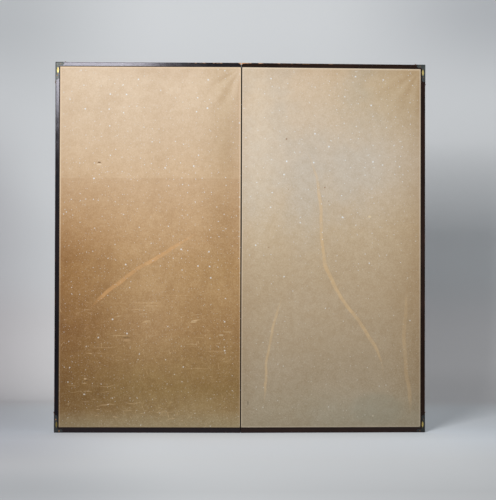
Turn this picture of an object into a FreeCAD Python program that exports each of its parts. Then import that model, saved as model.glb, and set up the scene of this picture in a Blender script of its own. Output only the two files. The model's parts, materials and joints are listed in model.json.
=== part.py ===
import FreeCAD, Part
import os

import Sketcher
from FreeCAD import Placement, Rotation, Vector

# Two-panel folding screen that stands on the floor
# Lengths are in millimetres and angles in degrees. Each panel is drawn flat, with x running outwards
# from the joint between the panels, the front at -y and the floor at z = 0. It is then turned about
# the back fold line to the slight fold in which the screen stands.

SIZES = (
    ("screen_height", 1727, "height of the frame from floor to top"),
    ("panel_width", 866.5, "middle of the joint to the outer side of the frame"),
    ("frame_depth", 18.2, "front to back thickness of the lacquered frame"),
    ("top_rail_face", 21, "height of the top rail seen from the front"),
    ("bottom_rail_face", 25, "height of the bottom rail seen from the front"),
    ("stile_face", 21.5, "width of the outer stile seen from the front"),
    ("outer_arris_radius", 4, "rounding of the frame's outer long edges"),
    ("inner_arris_radius", 0.8, "rounding of the frame's edges beside the paper"),
    ("chip_depth", 5, "depth of the worn corner at the joint end of a top rail"),
    ("left_chip_width", 11, "length of the worn corner on the left rail"),
    ("left_chip_height", 12, "height of the worn corner on the left rail"),
    ("right_chip_width", 23, "length of the worn corner on the right rail"),
    ("right_chip_height", 10, "height of the worn corner on the right rail"),
    ("core_depth", 14.4, "thickness of the wooden core"),
    ("core_member", 22, "width of the four outer members of the core"),
    ("lattice_width", 12, "width of the bars inside the core"),
    ("upright_count", 4, "upright lattice bars in a panel"),
    ("crossbar_count", 10, "level lattice bars in a panel"),
    ("bar_tenon", 8, "length of the tenons on the lattice bars"),
    ("rail_tenon", 14, "length of the tenons on the core rails"),
    ("tenon_thickness", 4.8, "thickness of every tenon"),
    ("tenon_shoulder", 3, "width of the shoulder beside a tenon"),
    ("wood_fit", 0.1, "clearance round a tenon, lap or peg"),
    ("peg_radius", 1.5, "radius of the bamboo pegs"),
    ("peg_length", 24, "length of the bamboo pegs, half in the core"),
    ("base_paper", 0.6, "thickness of the layers of lining paper on one side"),
    ("face_paper", 0.4, "thickness of the mounted outer paper"),
    ("paper_edge_radius", 0.8, "rounding of the paper at the joint edge"),
    ("joint_gap", 2, "gap between the papered joint edges when flat"),
    ("hinge_leaf", 0.5, "thickness of a paper hinge leaf"),
    ("leaf_count", 6, "hinge leaves along the height, the end ones shorter"),
    ("leaf_spacing", 2, "space between one hinge leaf and the next"),
    ("tab_width", 60, "width of the glued tab of a hinge leaf"),
    ("tab_sheet", 0.3, "thickness of the glued tab"),
    ("fold_clearance", 0.3, "space left between fittings when folded shut"),
    ("rest_fold", 3, "angle by which the standing screen is folded back"),
    ("fitting_sheet", 0.8, "thickness of the metal of a corner fitting"),
    ("fitting_relief", 0.3, "height of what stands on the front of a fitting"),
    ("flange_width", 16, "width of the front and back flanges of a fitting"),
    ("flange_drop", 82, "length of the upright leg of a fitting"),
    ("flange_reach", 40, "length of the level leg of a fitting"),
    ("side_plate", 98, "length of the tongue on the outer side"),
    ("top_plate", 56, "length of the tongue on the top"),
    ("tongue_margin", 4.2, "distance of a tongue's edge from the face of the frame"),
    ("inlay_height", 30, "height of the gilt inlay"),
    ("inlay_width", 8.5, "width of the gilt inlay"),
    ("inlay_drop", 38, "middle of the inlay to the outer end of the corner"),
    ("inlay_inset", 11.4, "middle of the inlay to the outer side"),
    ("shank_radius", 0.8, "radius of a nail's shank"),
    ("shank_length", 7, "length of a nail's shank"),
    ("shank_fit", 0.05, "clearance round a nail's shank"),
    ("flat_head_radius", 1.6, "radius of the low nail heads on the front"),
    ("dome_head_radius", 4, "radius of the domed nail heads on side and top"),
    ("dome_head_height", 2.6, "height of the domed nail heads"),
    ("front_nail_drop", 62, "front nail of the upright leg to the outer end of the corner"),
    ("front_nail_reach", 24, "front nail of the level leg to the outer side"),
    ("top_nail_reach", 45, "nail on the top to the outer side"),
    ("tool_overrun", 1, "how far a cutting shape runs past what it cuts"),
)

# Shares of the height or width at which the pegs sit, clear of the lattice joints
STILE_PEG_SHARES = (0.05, 0.32, 0.5, 0.68, 0.95)
RAIL_PEG_SHARES = (0.1, 0.5, 0.9)

# Length of the lowest and the highest hinge leaf, as a share of the others'
END_LEAF_SHARE = 0.52

# Outlines of the worn corners, as shares of their length and height
CHIP_OUTLINE_SHARES = {
    "left": ((0, 1), (1, 0)),
    "right": ((0, 1), (0.28, 0.45), (0.9, 0.3), (1, 0)),
}

# Lobes at the end of a fitting's leg, as shares of the leg's width
TIP_LOBE_SHARE = 0.3
TIP_DROP_SHARE = 0.48
SHOULDER_LOBE_SHARE = 0.25

SIDES = {"left": -1, "right": 1}
LEVEL = Vector(1, 0, 0)
UPRIGHT = Vector(0, 0, 1)

doc = FreeCAD.newDocument("folding_screen")
sheet = doc.addObject("Spreadsheet::Sheet", "sizes")
for row, (alias, number, note) in enumerate(SIZES, 1):
    sheet.set(f"A{row}", note)
    sheet.set(f"B{row}", str(number))
    sheet.setAlias(f"B{row}", alias)
doc.recompute()

# Places that several pieces share
HALF_DEPTH = "sizes.frame_depth / 2"
CORE_FACE = "sizes.core_depth / 2"
BASE_FACE = f"({CORE_FACE} + sizes.base_paper)"
PAPER_FACE = f"({BASE_FACE} + sizes.face_paper)"
EDGE = "sizes.joint_gap / 2"
CORE_EDGE = f"({EDGE} + sizes.face_paper)"
INNER_SIDE = "(sizes.panel_width - sizes.stile_face)"
INNER_TOP = "(sizes.screen_height - sizes.top_rail_face)"
INNER_BOTTOM = "sizes.bottom_rail_face"
OVERRUN = "sizes.tool_overrun"

# Clear space inside the core's outer members
BAY_LEFT = f"({CORE_EDGE} + sizes.core_member)"
BAY_RIGHT = f"({INNER_SIDE} - sizes.core_member)"
BAY_BOTTOM = f"({INNER_BOTTOM} + sizes.core_member)"
BAY_TOP = f"({INNER_TOP} - sizes.core_member)"

# The fold lines stand off the mid-plane by this much, in front and behind
FOLD_OFFSET = f"({HALF_DEPTH} + sizes.fitting_sheet + sizes.fitting_relief + sizes.fold_clearance)"

# Foremost and rearmost places of the standing screen, which set where its middle is
TURN = "(sizes.rest_fold / 2)"
FOREMOST = f"({FOLD_OFFSET} + sin({TURN}) * {EDGE} - cos({TURN}) * ({HALF_DEPTH} + {FOLD_OFFSET}))"
REARMOST = (
    f"({FOLD_OFFSET} + sin({TURN}) * (sizes.panel_width - sizes.outer_arris_radius)"
    f" + cos({TURN}) * ({HALF_DEPTH} - sizes.outer_arris_radius - {FOLD_OFFSET})"
    " + sizes.outer_arris_radius + sizes.fitting_sheet)"
)
SHIFT = f"(({FOREMOST} + {REARMOST}) / -2)"

subparts = []


def number(expression):
    return float(sheet.evalExpression(expression))


def new(kind, name):
    return doc.addObject(kind, name)


def finish(item, label, side):
    """Name a finished sub-part and turn it with its panel about the back fold line."""
    item.Label = label
    item.Placement = Placement(Vector(), Rotation(Vector(0, 0, 1), 0))
    item.setExpression("Placement.Rotation.Angle", f"{SIDES[side]} * {TURN}")
    item.setExpression("Placement.Base.x", f"{SIDES[side]} * sin({TURN}) * {FOLD_OFFSET}")
    item.setExpression("Placement.Base.y", f"{FOLD_OFFSET} - cos({TURN}) * {FOLD_OFFSET} + {SHIFT}")
    subparts.append(item)
    return item


def block(name, side, x, y, z, grow="0"):
    """A box between named places, x counted outwards from the joint, made larger all round by grow."""
    item = new("Part::Box", name)
    start = x[0] if side == "right" else f"-({x[1]})"
    item.setExpression("Length", f"({x[1]}) - ({x[0]}) + 2 * {grow}")
    item.setExpression("Width", f"({y[1]}) - ({y[0]}) + 2 * {grow}")
    item.setExpression("Height", f"({z[1]}) - ({z[0]}) + 2 * {grow}")
    item.setExpression("Placement.Base.x", f"{start} - {grow}")
    item.setExpression("Placement.Base.y", f"{y[0]} - {grow}")
    item.setExpression("Placement.Base.z", f"{z[0]} - {grow}")
    return item


def rod(name, side, radius, x, y, z):
    """A round rod along whichever of x, y and z is given as a span."""
    item = new("Part::Cylinder", name)
    item.setExpression("Radius", radius)
    sign = SIDES[side]
    if isinstance(x, tuple):
        turn = Rotation(Vector(0, 1, 0), 90)
        span = x
        start = (x[0] if sign > 0 else f"-({x[1]})", y, z)
    elif isinstance(y, tuple):
        turn = Rotation(Vector(1, 0, 0), -90)
        span = y
        start = (f"{sign} * ({x})", y[0], z)
    else:
        turn = Rotation()
        span = z
        start = (f"{sign} * ({x})", y, z[0])
    item.Placement = Placement(Vector(), turn)
    item.setExpression("Height", f"({span[1]}) - ({span[0]})")
    for axis, place in zip("xyz", start):
        item.setExpression(f"Placement.Base.{axis}", place)
    return item


def group(name, items):
    item = new("Part::Compound", name)
    item.Links = items
    return item


def joined(name, items):
    item = new("Part::MultiFuse", name)
    item.Shapes = items
    return item


def cut(name, base, tool):
    item = new("Part::Cut", name)
    item.Base = base
    item.Tool = tool
    return item


def shared(name, base, tool):
    item = new("Part::Common", name)
    item.Base = base
    item.Tool = tool
    return item


def body_sketch(body, name, role, lift, points):
    """A closed outline on one of the body's own planes, every corner tied to the sheet."""
    sketch = body.newObject("Sketcher::SketchObject", name)
    plane = next(feature for feature in body.Origin.OriginFeatures if feature.Role == role)
    sketch.AttachmentSupport = [(plane, "")]
    sketch.MapMode = "FlatFace"
    sketch.setExpression("AttachmentOffset.Base.z", lift)
    corners = [Vector(number(u), number(v), 0) for u, v in points]
    count = len(corners)
    for index in range(count):
        sketch.addGeometry(Part.LineSegment(corners[index], corners[(index + 1) % count]), False)
    for index in range(count):
        sketch.addConstraint(Sketcher.Constraint("Coincident", index, 2, (index + 1) % count, 1))
    for index, place in enumerate(points):
        for kind, expression, value in zip(("DistanceX", "DistanceY"), place, corners[index]):
            if value < 0:
                tie = Sketcher.Constraint(kind, index, 1, -1, 1, -value)
                expression = f"-({expression})"
            else:
                tie = Sketcher.Constraint(kind, -1, 1, index, 1, value)
            sketch.setExpression(f"Constraints[{sketch.addConstraint(tie)}]", expression)
    return sketch


def board(name, side, outline, z):
    """A body padded upwards from an outline of (x, y) places, x counted outwards from the joint."""
    body = new("PartDesign::Body", name)
    points = [(f"{SIDES[side]} * ({x})", y) for x, y in outline]
    sketch = body_sketch(body, f"{name}_outline", "XY_Plane", z[0], points)
    pad = body.newObject("PartDesign::Pad", f"{name}_pad")
    pad.Profile = sketch
    pad.setExpression("Length", f"({z[1]}) - ({z[0]})")
    doc.recompute()
    return body


def oblong(x, y):
    return [(x[0], y[0]), (x[1], y[0]), (x[1], y[1]), (x[0], y[1])]


def round_edges(body, radius, runs):
    """Round straight edges together. A run is a direction and places on the edges' lines."""
    near = 0.01 * number(OVERRUN)
    base = body.Tip
    names = []
    for index, edge in enumerate(base.Shape.Edges, 1):
        if len(edge.Vertexes) < 2:
            continue
        start, end = (vertex.Point for vertex in edge.Vertexes)
        middle = (start + end) / 2
        for direction, places in runs:
            if (end - start).cross(direction).Length > near:
                continue
            offsets = [middle - place for place in places]
            if any((offset - direction * offset.dot(direction)).Length < near for offset in offsets):
                names.append(f"Edge{index}")
    fillet = body.newObject("PartDesign::Fillet", f"{body.Name}_round")
    fillet.Base = (base, names)
    fillet.setExpression("Radius", radius)
    doc.recompute()


def pocket(body, name, points, lift, depth=None):
    """Cut an outline of (x, z) places backwards through the body, or to a depth from its front."""
    before = body.Tip.Shape.Volume
    sketch = body_sketch(body, f"{name}_outline", "XZ_Plane", lift, points)
    feature = body.newObject("PartDesign::Pocket", name)
    feature.Profile = sketch
    if depth is None:
        feature.Type = "ThroughAll"
    else:
        feature.setExpression("Length", depth)
    doc.recompute()
    if not feature.Shape.Volume < before:
        raise ValueError(f"{name} removes nothing")


def corner_z(corner, distance):
    """The height of a place at a distance from the outer end of a corner."""
    return f"(sizes.screen_height - ({distance}))" if corner == "top" else f"({distance})"


def corner_span(corner, near, far):
    """The span of heights between two distances from the outer end of a corner."""
    if corner == "top":
        return corner_z(corner, far), corner_z(corner, near)
    return corner_z(corner, near), corner_z(corner, far)


def outwards(distance):
    """The x of a place at a distance inwards from the outer side."""
    return f"(sizes.panel_width - ({distance}))"


def edge_places(side, xs, ys, zs):
    """Places on the lines of edges, from expressions for x, y and z."""
    return [
        Vector(SIDES[side] * number(x), number(y), number(z))
        for x in xs for y in ys for z in zs
    ]


def lacquered_rail(side, corner, drilling):
    """A level frame rail, mitred at its outer end and rounded along its arrises."""
    face = f"sizes.{corner}_rail_face"
    name = f"{side}_{corner}_rail_blank"
    x = (EDGE, "sizes.panel_width")
    y = (f"-{HALF_DEPTH}", HALF_DEPTH)
    body = board(name, side, oblong(x, y), corner_span(corner, "0", face))
    outer = edge_places(side, [EDGE], y, [corner_z(corner, "0")])
    inner = edge_places(side, [EDGE], y, [corner_z(corner, face)])
    round_edges(body, "sizes.outer_arris_radius", [(LEVEL, outer)])
    round_edges(body, "sizes.inner_arris_radius", [(LEVEL, inner)])
    beyond = f"sizes.stile_face + {face}"
    mitre = [
        (outwards(f"-{OVERRUN}"), corner_z(corner, f"-{OVERRUN}")),
        (outwards("sizes.stile_face"), corner_z(corner, "sizes.stile_face")),
        (outwards("sizes.stile_face"), corner_z(corner, beyond)),
        (outwards(f"-{OVERRUN}"), corner_z(corner, beyond)),
    ]
    points = [(f"{SIDES[side]} * {x_place}", z_place) for x_place, z_place in mitre]
    pocket(body, f"{name}_mitre", points, "sizes.frame_depth")
    if corner == "top":
        shares = ((0, -1),) + CHIP_OUTLINE_SHARES[side] + ((1, -1),)
        points = [chip_point(side, *share) for share in shares]
        pocket(body, f"{name}_chip", points, HALF_DEPTH, "sizes.chip_depth")
    finish(cut(f"{side}_{corner}_rail_drilled", body, drilling), f"{side}_frame_{corner}_rail", side)


def chip_point(side, across_share, down_share):
    """A point on the outline of the worn corner at the joint end of the top rail."""
    across = f"{EDGE} + {across_share} * sizes.{side}_chip_width"
    if across_share == 0:
        across = f"{EDGE} - {OVERRUN}"
    down = OVERRUN if down_share < 0 else f"-{down_share} * sizes.{side}_chip_height"
    return f"{SIDES[side]} * ({across})", f"sizes.screen_height + {down}"


def lacquered_stile(side, drilling):
    """The upright outer member of the frame, mitred at both ends."""
    name = f"{side}_stile_blank"
    x = (INNER_SIDE, "sizes.panel_width")
    y = (f"-{HALF_DEPTH}", HALF_DEPTH)
    body = board(name, side, oblong(x, y), ("0", "sizes.screen_height"))
    round_edges(body, "sizes.outer_arris_radius", [(UPRIGHT, edge_places(side, [x[1]], y, ["0"]))])
    round_edges(body, "sizes.inner_arris_radius", [(UPRIGHT, edge_places(side, [x[0]], y, ["0"]))])
    for corner in ("top", "bottom"):
        face = f"sizes.{corner}_rail_face"
        far = outwards(f"sizes.stile_face + {face}")
        mitre = [
            (outwards(f"-{OVERRUN}"), corner_z(corner, f"-{OVERRUN}")),
            (outwards(face), corner_z(corner, face)),
            (far, corner_z(corner, face)),
            (far, corner_z(corner, f"-{OVERRUN}")),
        ]
        points = [(f"{SIDES[side]} * {x_place}", z_place) for x_place, z_place in mitre]
        pocket(body, f"{name}_{corner}_mitre", points, "sizes.frame_depth")
    finish(cut(f"{side}_stile_drilled", body, drilling), f"{side}_frame_stile", side)


def pegs(side):
    """Bamboo pegs from the core into the frame, and the holes that they fill."""
    rods = {"top": [], "bottom": [], "stile": []}
    holes = {"top": [], "bottom": [], "stile": []}
    half = "sizes.peg_length / 2"
    for member, found in (("peg", rods), ("peg_hole", holes)):
        fit = "sizes.wood_fit" if member == "peg_hole" else "0"
        radius = f"sizes.peg_radius + {fit}"
        for index, share in enumerate(RAIL_PEG_SHARES, 1):
            x = f"{CORE_EDGE} + {share} * ({INNER_SIDE} - {CORE_EDGE})"
            for corner, seam in (("top", INNER_TOP), ("bottom", INNER_BOTTOM)):
                span = (f"{seam} - {half} - {fit}", f"{seam} + {half} + {fit}")
                name = f"{side}_{corner}_{member}_{index}"
                found[corner].append(rod(name, side, radius, x, "0", span))
        for index, share in enumerate(STILE_PEG_SHARES, 1):
            z = f"{INNER_BOTTOM} + {share} * ({INNER_TOP} - {INNER_BOTTOM})"
            span = (f"{INNER_SIDE} - {half} - {fit}", f"{INNER_SIDE} + {half} + {fit}")
            found["stile"].append(rod(f"{side}_stile_{member}_{index}", side, radius, span, "0", z))
    every = [item for items in rods.values() for item in items]
    finish(group(f"{side}_peg_set", every), f"{side}_frame_pegs", side)
    return holes


def tenon(name, side, x, z, grow="0"):
    """A tenon, or its mortise when grown, in the middle of the core's thickness."""
    half = "sizes.tenon_thickness / 2"
    return block(name, side, x, (f"-{half}", half), z, grow)


def bar_spans(kind):
    """Centre places of the lattice bars, spaced evenly between the core's outer members."""
    count = int(number(f"sizes.{kind}_count"))
    low, high = (BAY_LEFT, BAY_RIGHT) if kind == "upright" else (BAY_BOTTOM, BAY_TOP)
    half = "sizes.lattice_width / 2"
    spans = []
    for index in range(1, count + 1):
        centre = f"({low} + {index} * ({high} - {low}) / (sizes.{kind}_count + 1))"
        spans.append((f"{centre} - {half}", f"{centre} + {half}"))
    return spans


def narrowed(span):
    """A span less a tenon's shoulders."""
    return f"{span[0]} + sizes.tenon_shoulder", f"{span[1]} - sizes.tenon_shoulder"


def widened(span):
    """A span with the clearance of a lap joint on both sides."""
    return f"{span[0]} - sizes.wood_fit", f"{span[1]} + sizes.wood_fit"


def lengthened(span, length):
    """A span run on at both ends."""
    return f"{span[0]} - {length}", f"{span[1]} + {length}"


def core(side, peg_holes):
    """The cedar core: four outer members and a half-lapped lattice, tenoned together."""
    fit = "sizes.wood_fit"
    depth = (f"-{CORE_FACE}", CORE_FACE)
    bay_x = (BAY_LEFT, BAY_RIGHT)
    bay_z = (BAY_BOTTOM, BAY_TOP)
    uprights = bar_spans("upright")
    crossbars = bar_spans("crossbar")

    bars = []
    mortises = []
    for index, span in enumerate(crossbars, 1):
        name = f"{side}_crossbar_{index}"
        reach = lengthened(bay_x, "sizes.bar_tenon")
        bar = block(name, side, bay_x, depth, span)
        bars.append(joined(f"{name}_tenoned", [bar, tenon(f"{name}_tenon", side, reach, narrowed(span))]))
        mortises.append(tenon(f"{name}_mortise", side, reach, narrowed(span), fit))
    front = (f"-{CORE_FACE} - {OVERRUN}", "0")
    laps = [
        block(f"{side}_crossbar_lap_{index}", side, widened(span), front, bay_z)
        for index, span in enumerate(uprights, 1)
    ]
    bar_set = cut(f"{side}_crossbars_lapped", group(f"{side}_crossbar_set", bars),
                  group(f"{side}_crossbar_laps", laps))
    finish(bar_set, f"{side}_core_crossbars", side)

    bars = []
    sockets = []
    for index, span in enumerate(uprights, 1):
        name = f"{side}_upright_{index}"
        reach = lengthened(bay_z, "sizes.bar_tenon")
        bar = block(name, side, span, depth, bay_z)
        bars.append(joined(f"{name}_tenoned", [bar, tenon(f"{name}_tenon", side, narrowed(span), reach)]))
        sockets.append(tenon(f"{name}_mortise", side, narrowed(span), reach, fit))
    back = ("0", f"{CORE_FACE} + {OVERRUN}")
    laps = [
        block(f"{side}_upright_lap_{index}", side, bay_x, back, widened(span))
        for index, span in enumerate(crossbars, 1)
    ]
    bar_set = cut(f"{side}_uprights_lapped", group(f"{side}_upright_set", bars),
                  group(f"{side}_upright_laps", laps))
    finish(bar_set, f"{side}_core_uprights", side)

    rail_spans = {"top": (BAY_TOP, INNER_TOP), "bottom": (INNER_BOTTOM, BAY_BOTTOM)}
    for corner, span in rail_spans.items():
        name = f"{side}_core_{corner}_rail"
        reach = lengthened(bay_x, "sizes.rail_tenon")
        rail = block(f"{name}_blank", side, bay_x, depth, span)
        whole = joined(f"{name}_tenoned", [rail, tenon(f"{name}_tenon", side, reach, narrowed(span))])
        mortises.append(tenon(f"{name}_mortise", side, reach, narrowed(span), fit))
        tools = group(f"{name}_holes", sockets + peg_holes[corner])
        finish(cut(f"{name}_cut", whole, tools), name, side)

    height = (INNER_BOTTOM, INNER_TOP)
    stile = block(f"{side}_core_hinge_blank", side, (CORE_EDGE, BAY_LEFT), depth, height)
    tools = group(f"{side}_core_hinge_holes", mortises)
    finish(cut(f"{side}_core_hinge_cut", stile, tools), f"{side}_core_hinge_stile", side)
    stile = block(f"{side}_core_outer_blank", side, (BAY_RIGHT, INNER_SIDE), depth, height)
    tools = group(f"{side}_core_outer_holes", mortises + peg_holes["stile"])
    finish(cut(f"{side}_core_outer_cut", stile, tools), f"{side}_core_outer_stile", side)


def leaf_height_span(index):
    """The span of heights of one of the hinge leaves, counted from the bottom."""
    whole_share = int(number("sizes.leaf_count")) - 2 + 2 * END_LEAF_SHARE
    low_share = max(0, index - 1 + END_LEAF_SHARE)
    high_share = min(index + END_LEAF_SHARE, whole_share)
    pitch = f"(({INNER_TOP} - {INNER_BOTTOM}) / {whole_share})"
    low = f"{INNER_BOTTOM} + {low_share} * {pitch} + sizes.leaf_spacing / 2"
    high = f"{INNER_BOTTOM} + {high_share} * {pitch} - sizes.leaf_spacing / 2"
    return low, high


def facing(face, near, far):
    """A span of depth on the front or the back, from its distances to the mid-plane."""
    return (f"-({far})", f"-({near})") if face == "front" else (near, far)


def papers(side):
    """Lining papers with the glued tabs of the hinge leaves let in, and the mounted outer papers."""
    height = (INNER_BOTTOM, INNER_TOP)
    for face in ("front", "back"):
        first = 0 if (face == "front") == (side == "left") else 1
        depth = facing(face, f"{BASE_FACE} - sizes.tab_sheet", BASE_FACE)
        across = (CORE_EDGE, f"{CORE_EDGE} + sizes.tab_width")
        tabs = [
            block(f"{side}_{face}_tab_{index}", side, across, depth, leaf_height_span(index))
            for index in range(first, int(number("sizes.leaf_count")), 2)
        ]
        tab_set = group(f"{side}_{face}_tab_set", tabs)
        lining = block(f"{side}_{face}_lining", side, (CORE_EDGE, INNER_SIDE),
                       facing(face, CORE_FACE, BASE_FACE), height)
        finish(cut(f"{side}_{face}_lining_cut", lining, tab_set), f"{side}_{face}_base_paper", side)
        finish(group(f"{side}_{face}_tabs", tabs), f"{side}_{face}_hinge_tabs", side)

    wrapped = [
        (EDGE, f"-{PAPER_FACE}"),
        (INNER_SIDE, f"-{PAPER_FACE}"),
        (INNER_SIDE, f"-{BASE_FACE}"),
        (CORE_EDGE, f"-{BASE_FACE}"),
        (CORE_EDGE, BASE_FACE),
        (EDGE, BASE_FACE),
    ]
    front = board(f"{side}_front_sheet", side, wrapped, height)
    corner = edge_places(side, [EDGE], [f"-{PAPER_FACE}"], ["0"])
    round_edges(front, "sizes.paper_edge_radius", [(UPRIGHT, corner)])
    finish(front, f"{side}_front_face_paper", side)
    back = board(f"{side}_back_sheet", side, oblong((EDGE, INNER_SIDE), (BASE_FACE, PAPER_FACE)), height)
    finish(back, f"{side}_back_face_paper", side)


def nail(name, side, facing_way, place, head_radius, head_height):
    """A nail with a domed head seated at a place, and the hole for its shank."""
    dome = f"((({head_radius}) ^ 2 + ({head_height}) ^ 2) / (2 * ({head_height})))"
    head = new("Part::Sphere", f"{name}_head")
    head.setExpression("Radius", dome)
    head.setExpression("Angle1", f"asin(({dome} - {head_height}) / {dome})")
    head.setExpression("Placement.Base.z", f"{head_height} - {dome}")
    shank = rod(f"{name}_shank", side, "sizes.shank_radius", "0", "0", ("-sizes.shank_length", "0"))
    bore = ("-sizes.shank_length - sizes.shank_fit", OVERRUN)
    hole = rod(f"{name}_bore", side, "sizes.shank_radius + sizes.shank_fit", "0", "0", bore)
    turns = {
        "front": Rotation(Vector(1, 0, 0), 90),
        "side": Rotation(Vector(0, 1, 0), 90 * SIDES[side]),
        "top": Rotation(),
    }
    whole = joined(f"{name}_whole", [head, shank])
    drilled = group(f"{name}_hole", [hole])
    for item in (whole, drilled):
        item.Placement = Placement(Vector(), turns[facing_way])
        item.setExpression("Placement.Base.x", f"{SIDES[side]} * {place[0]}")
        item.setExpression("Placement.Base.y", place[1])
        item.setExpression("Placement.Base.z", place[2])
    return whole, drilled


def leg_prism(name, side, corner, upright):
    """The outline of one leg of a fitting, run through the frame, with three lobes at its end."""
    wide = "sizes.flange_width"
    length = "sizes.flange_drop" if upright else "sizes.flange_reach"
    through = ("-sizes.frame_depth", "sizes.frame_depth")
    tip = f"{length} - {TIP_LOBE_SHARE} * {wide}"
    shoulder = f"{length} - {TIP_DROP_SHARE} * {wide}"
    outer = f"-{OVERRUN}"
    if upright:
        leg = block(f"{name}_leg", side, (outwards(wide), outwards(f"-{OVERRUN} - sizes.fitting_sheet")),
                    through, corner_span(corner, f"{outer} - sizes.fitting_sheet", shoulder))
    else:
        leg = block(f"{name}_leg", side,
                    (outwards(shoulder), outwards(f"-{OVERRUN} - sizes.fitting_sheet")),
                    through, corner_span(corner, f"{outer} - sizes.fitting_sheet", wide))
    lobes = [leg]
    small = f"{SHOULDER_LOBE_SHARE} * {wide}"
    rounds = (
        ("tip", f"{TIP_LOBE_SHARE} * {wide}", f"{wide} / 2", tip),
        ("outer", small, small, shoulder),
        ("inner", small, f"{wide} - {small}", shoulder),
    )
    for label, radius, across, along in rounds:
        x = outwards(across if upright else along)
        z = corner_z(corner, along if upright else across)
        lobes.append(rod(f"{name}_{label}_lobe", side, radius, x, through, z))
    return lobes


def fitting(side, corner, nails):
    """A corner fitting of sheet metal wrapped round the frame, with tongues on the side and top."""
    name = f"{side}_{corner}_fitting"
    sheet_edge = outwards("-sizes.fitting_sheet")
    reach = outwards(f"sizes.top_plate + {OVERRUN}")
    skin_y = (f"-({HALF_DEPTH} + sizes.fitting_sheet)", f"{HALF_DEPTH} + sizes.fitting_sheet")
    wood_y = (f"-{HALF_DEPTH}", HALF_DEPTH)
    far = f"sizes.side_plate + {OVERRUN}"
    start = "-sizes.fitting_sheet" if corner == "top" else "sizes.outer_arris_radius"
    skin_z = corner_span(corner, start, far)
    wood_z = corner_span(corner, "0", f"{far} + {OVERRUN}")
    skin = board(f"{name}_skin", side, oblong((reach, sheet_edge), skin_y), skin_z)
    wood_x = (f"{reach} - {OVERRUN}", "sizes.panel_width")
    wood = board(f"{name}_inside", side, oblong(wood_x, wood_y), wood_z)
    skin_edges = [(UPRIGHT, edge_places(side, [sheet_edge], skin_y, ["0"]))]
    wood_edges = [(UPRIGHT, edge_places(side, ["sizes.panel_width"], wood_y, ["0"]))]
    if corner == "top":
        skin_edges.append((LEVEL, edge_places(side, ["0"], skin_y, [skin_z[1]])))
        wood_edges.append((LEVEL, edge_places(side, ["0"], wood_y, [wood_z[1]])))
    round_edges(skin, "sizes.outer_arris_radius + sizes.fitting_sheet", skin_edges)
    round_edges(wood, "sizes.outer_arris_radius", wood_edges)
    shell = cut(f"{name}_shell", skin, wood)

    outline = leg_prism(f"{name}_upright", side, corner, True)
    outline += leg_prism(f"{name}_level", side, corner, False)
    half = f"({HALF_DEPTH} - sizes.tongue_margin)"
    across = (f"-{half}", half)
    end = f"sizes.side_plate - {half}"
    tongue_x = (outwards(OVERRUN), outwards(f"-{OVERRUN} - sizes.fitting_sheet"))
    outline.append(block(f"{name}_side_tongue", side, tongue_x, across, corner_span(corner, "0", end)))
    outline.append(rod(f"{name}_side_tongue_end", side, half, tongue_x, "0", corner_z(corner, end)))
    if corner == "top":
        end = f"sizes.top_plate - {half}"
        tongue_z = corner_span(corner, f"-{OVERRUN} - sizes.fitting_sheet", OVERRUN)
        outline.append(block(f"{name}_top_tongue", side, (outwards(end), outwards("0")), across, tongue_z))
        outline.append(rod(f"{name}_top_tongue_end", side, half, outwards(end), "0", tongue_z))
    plate = shared(f"{name}_plate", shell, joined(f"{name}_outline", outline))
    finish(cut(f"{name}_drilled", plate, nails), f"{side}_{corner}_corner_fitting", side)


def inlay(side, corner):
    """A lens-shaped gilt inlay on the upright leg, where two round discs overlap."""
    name = f"{side}_{corner}_inlay"
    high = "sizes.inlay_height"
    wide = "sizes.inlay_width"
    radius = f"(({high} ^ 2 + {wide} ^ 2) / (4 * {wide}))"
    face = f"{HALF_DEPTH} + sizes.fitting_sheet"
    depth = facing("front", face, f"{face} + sizes.fitting_relief")
    z = corner_z(corner, "sizes.inlay_drop")
    apart = f"({radius} - {wide} / 2)"
    centres = [outwards(f"sizes.inlay_inset + {sign} * {apart}") for sign in (-1, 1)]
    discs = [
        rod(f"{name}_disc_{index}", side, radius, centre, depth, z)
        for index, centre in enumerate(centres, 1)
    ]
    finish(shared(f"{name}_lens", *discs), f"{side}_{corner}_gilt_inlay", side)


def nails_for(side):
    """All the nails of a panel's two fittings, and their holes in the fittings and the frame."""
    face = f"-({HALF_DEPTH} + sizes.fitting_sheet)"
    middle = "sizes.flange_width / 2"
    metal_face = outwards("-sizes.fitting_sheet")
    tongue_end = f"sizes.side_plate - ({HALF_DEPTH} - sizes.tongue_margin)"
    flat = ("sizes.flat_head_radius", "sizes.fitting_relief")
    dome = ("sizes.dome_head_radius", "sizes.dome_head_height")
    every = []
    holes = {}
    for corner in ("top", "bottom"):
        name = f"{side}_{corner}_nail"
        made = {
            "stile_front": nail(f"{name}_upright", side, "front",
                                (outwards(middle), face, corner_z(corner, "sizes.front_nail_drop")), *flat),
            "rail_front": nail(f"{name}_level", side, "front",
                               (outwards("sizes.front_nail_reach"), face, corner_z(corner, middle)), *flat),
            "stile_side": nail(f"{name}_side", side, "side",
                               (metal_face, "0", corner_z(corner, tongue_end)), *dome),
        }
        if corner == "top":
            place = (outwards("sizes.top_nail_reach"), "0", corner_z(corner, "-sizes.fitting_sheet"))
            made["rail_top"] = nail(f"{name}_top", side, "top", place, *dome)
        every += [whole for whole, hole in made.values()]
        holes[corner] = {key: hole for key, (whole, hole) in made.items()}
    finish(group(f"{side}_nail_set", every), f"{side}_fitting_nails", side)
    return holes


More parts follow.
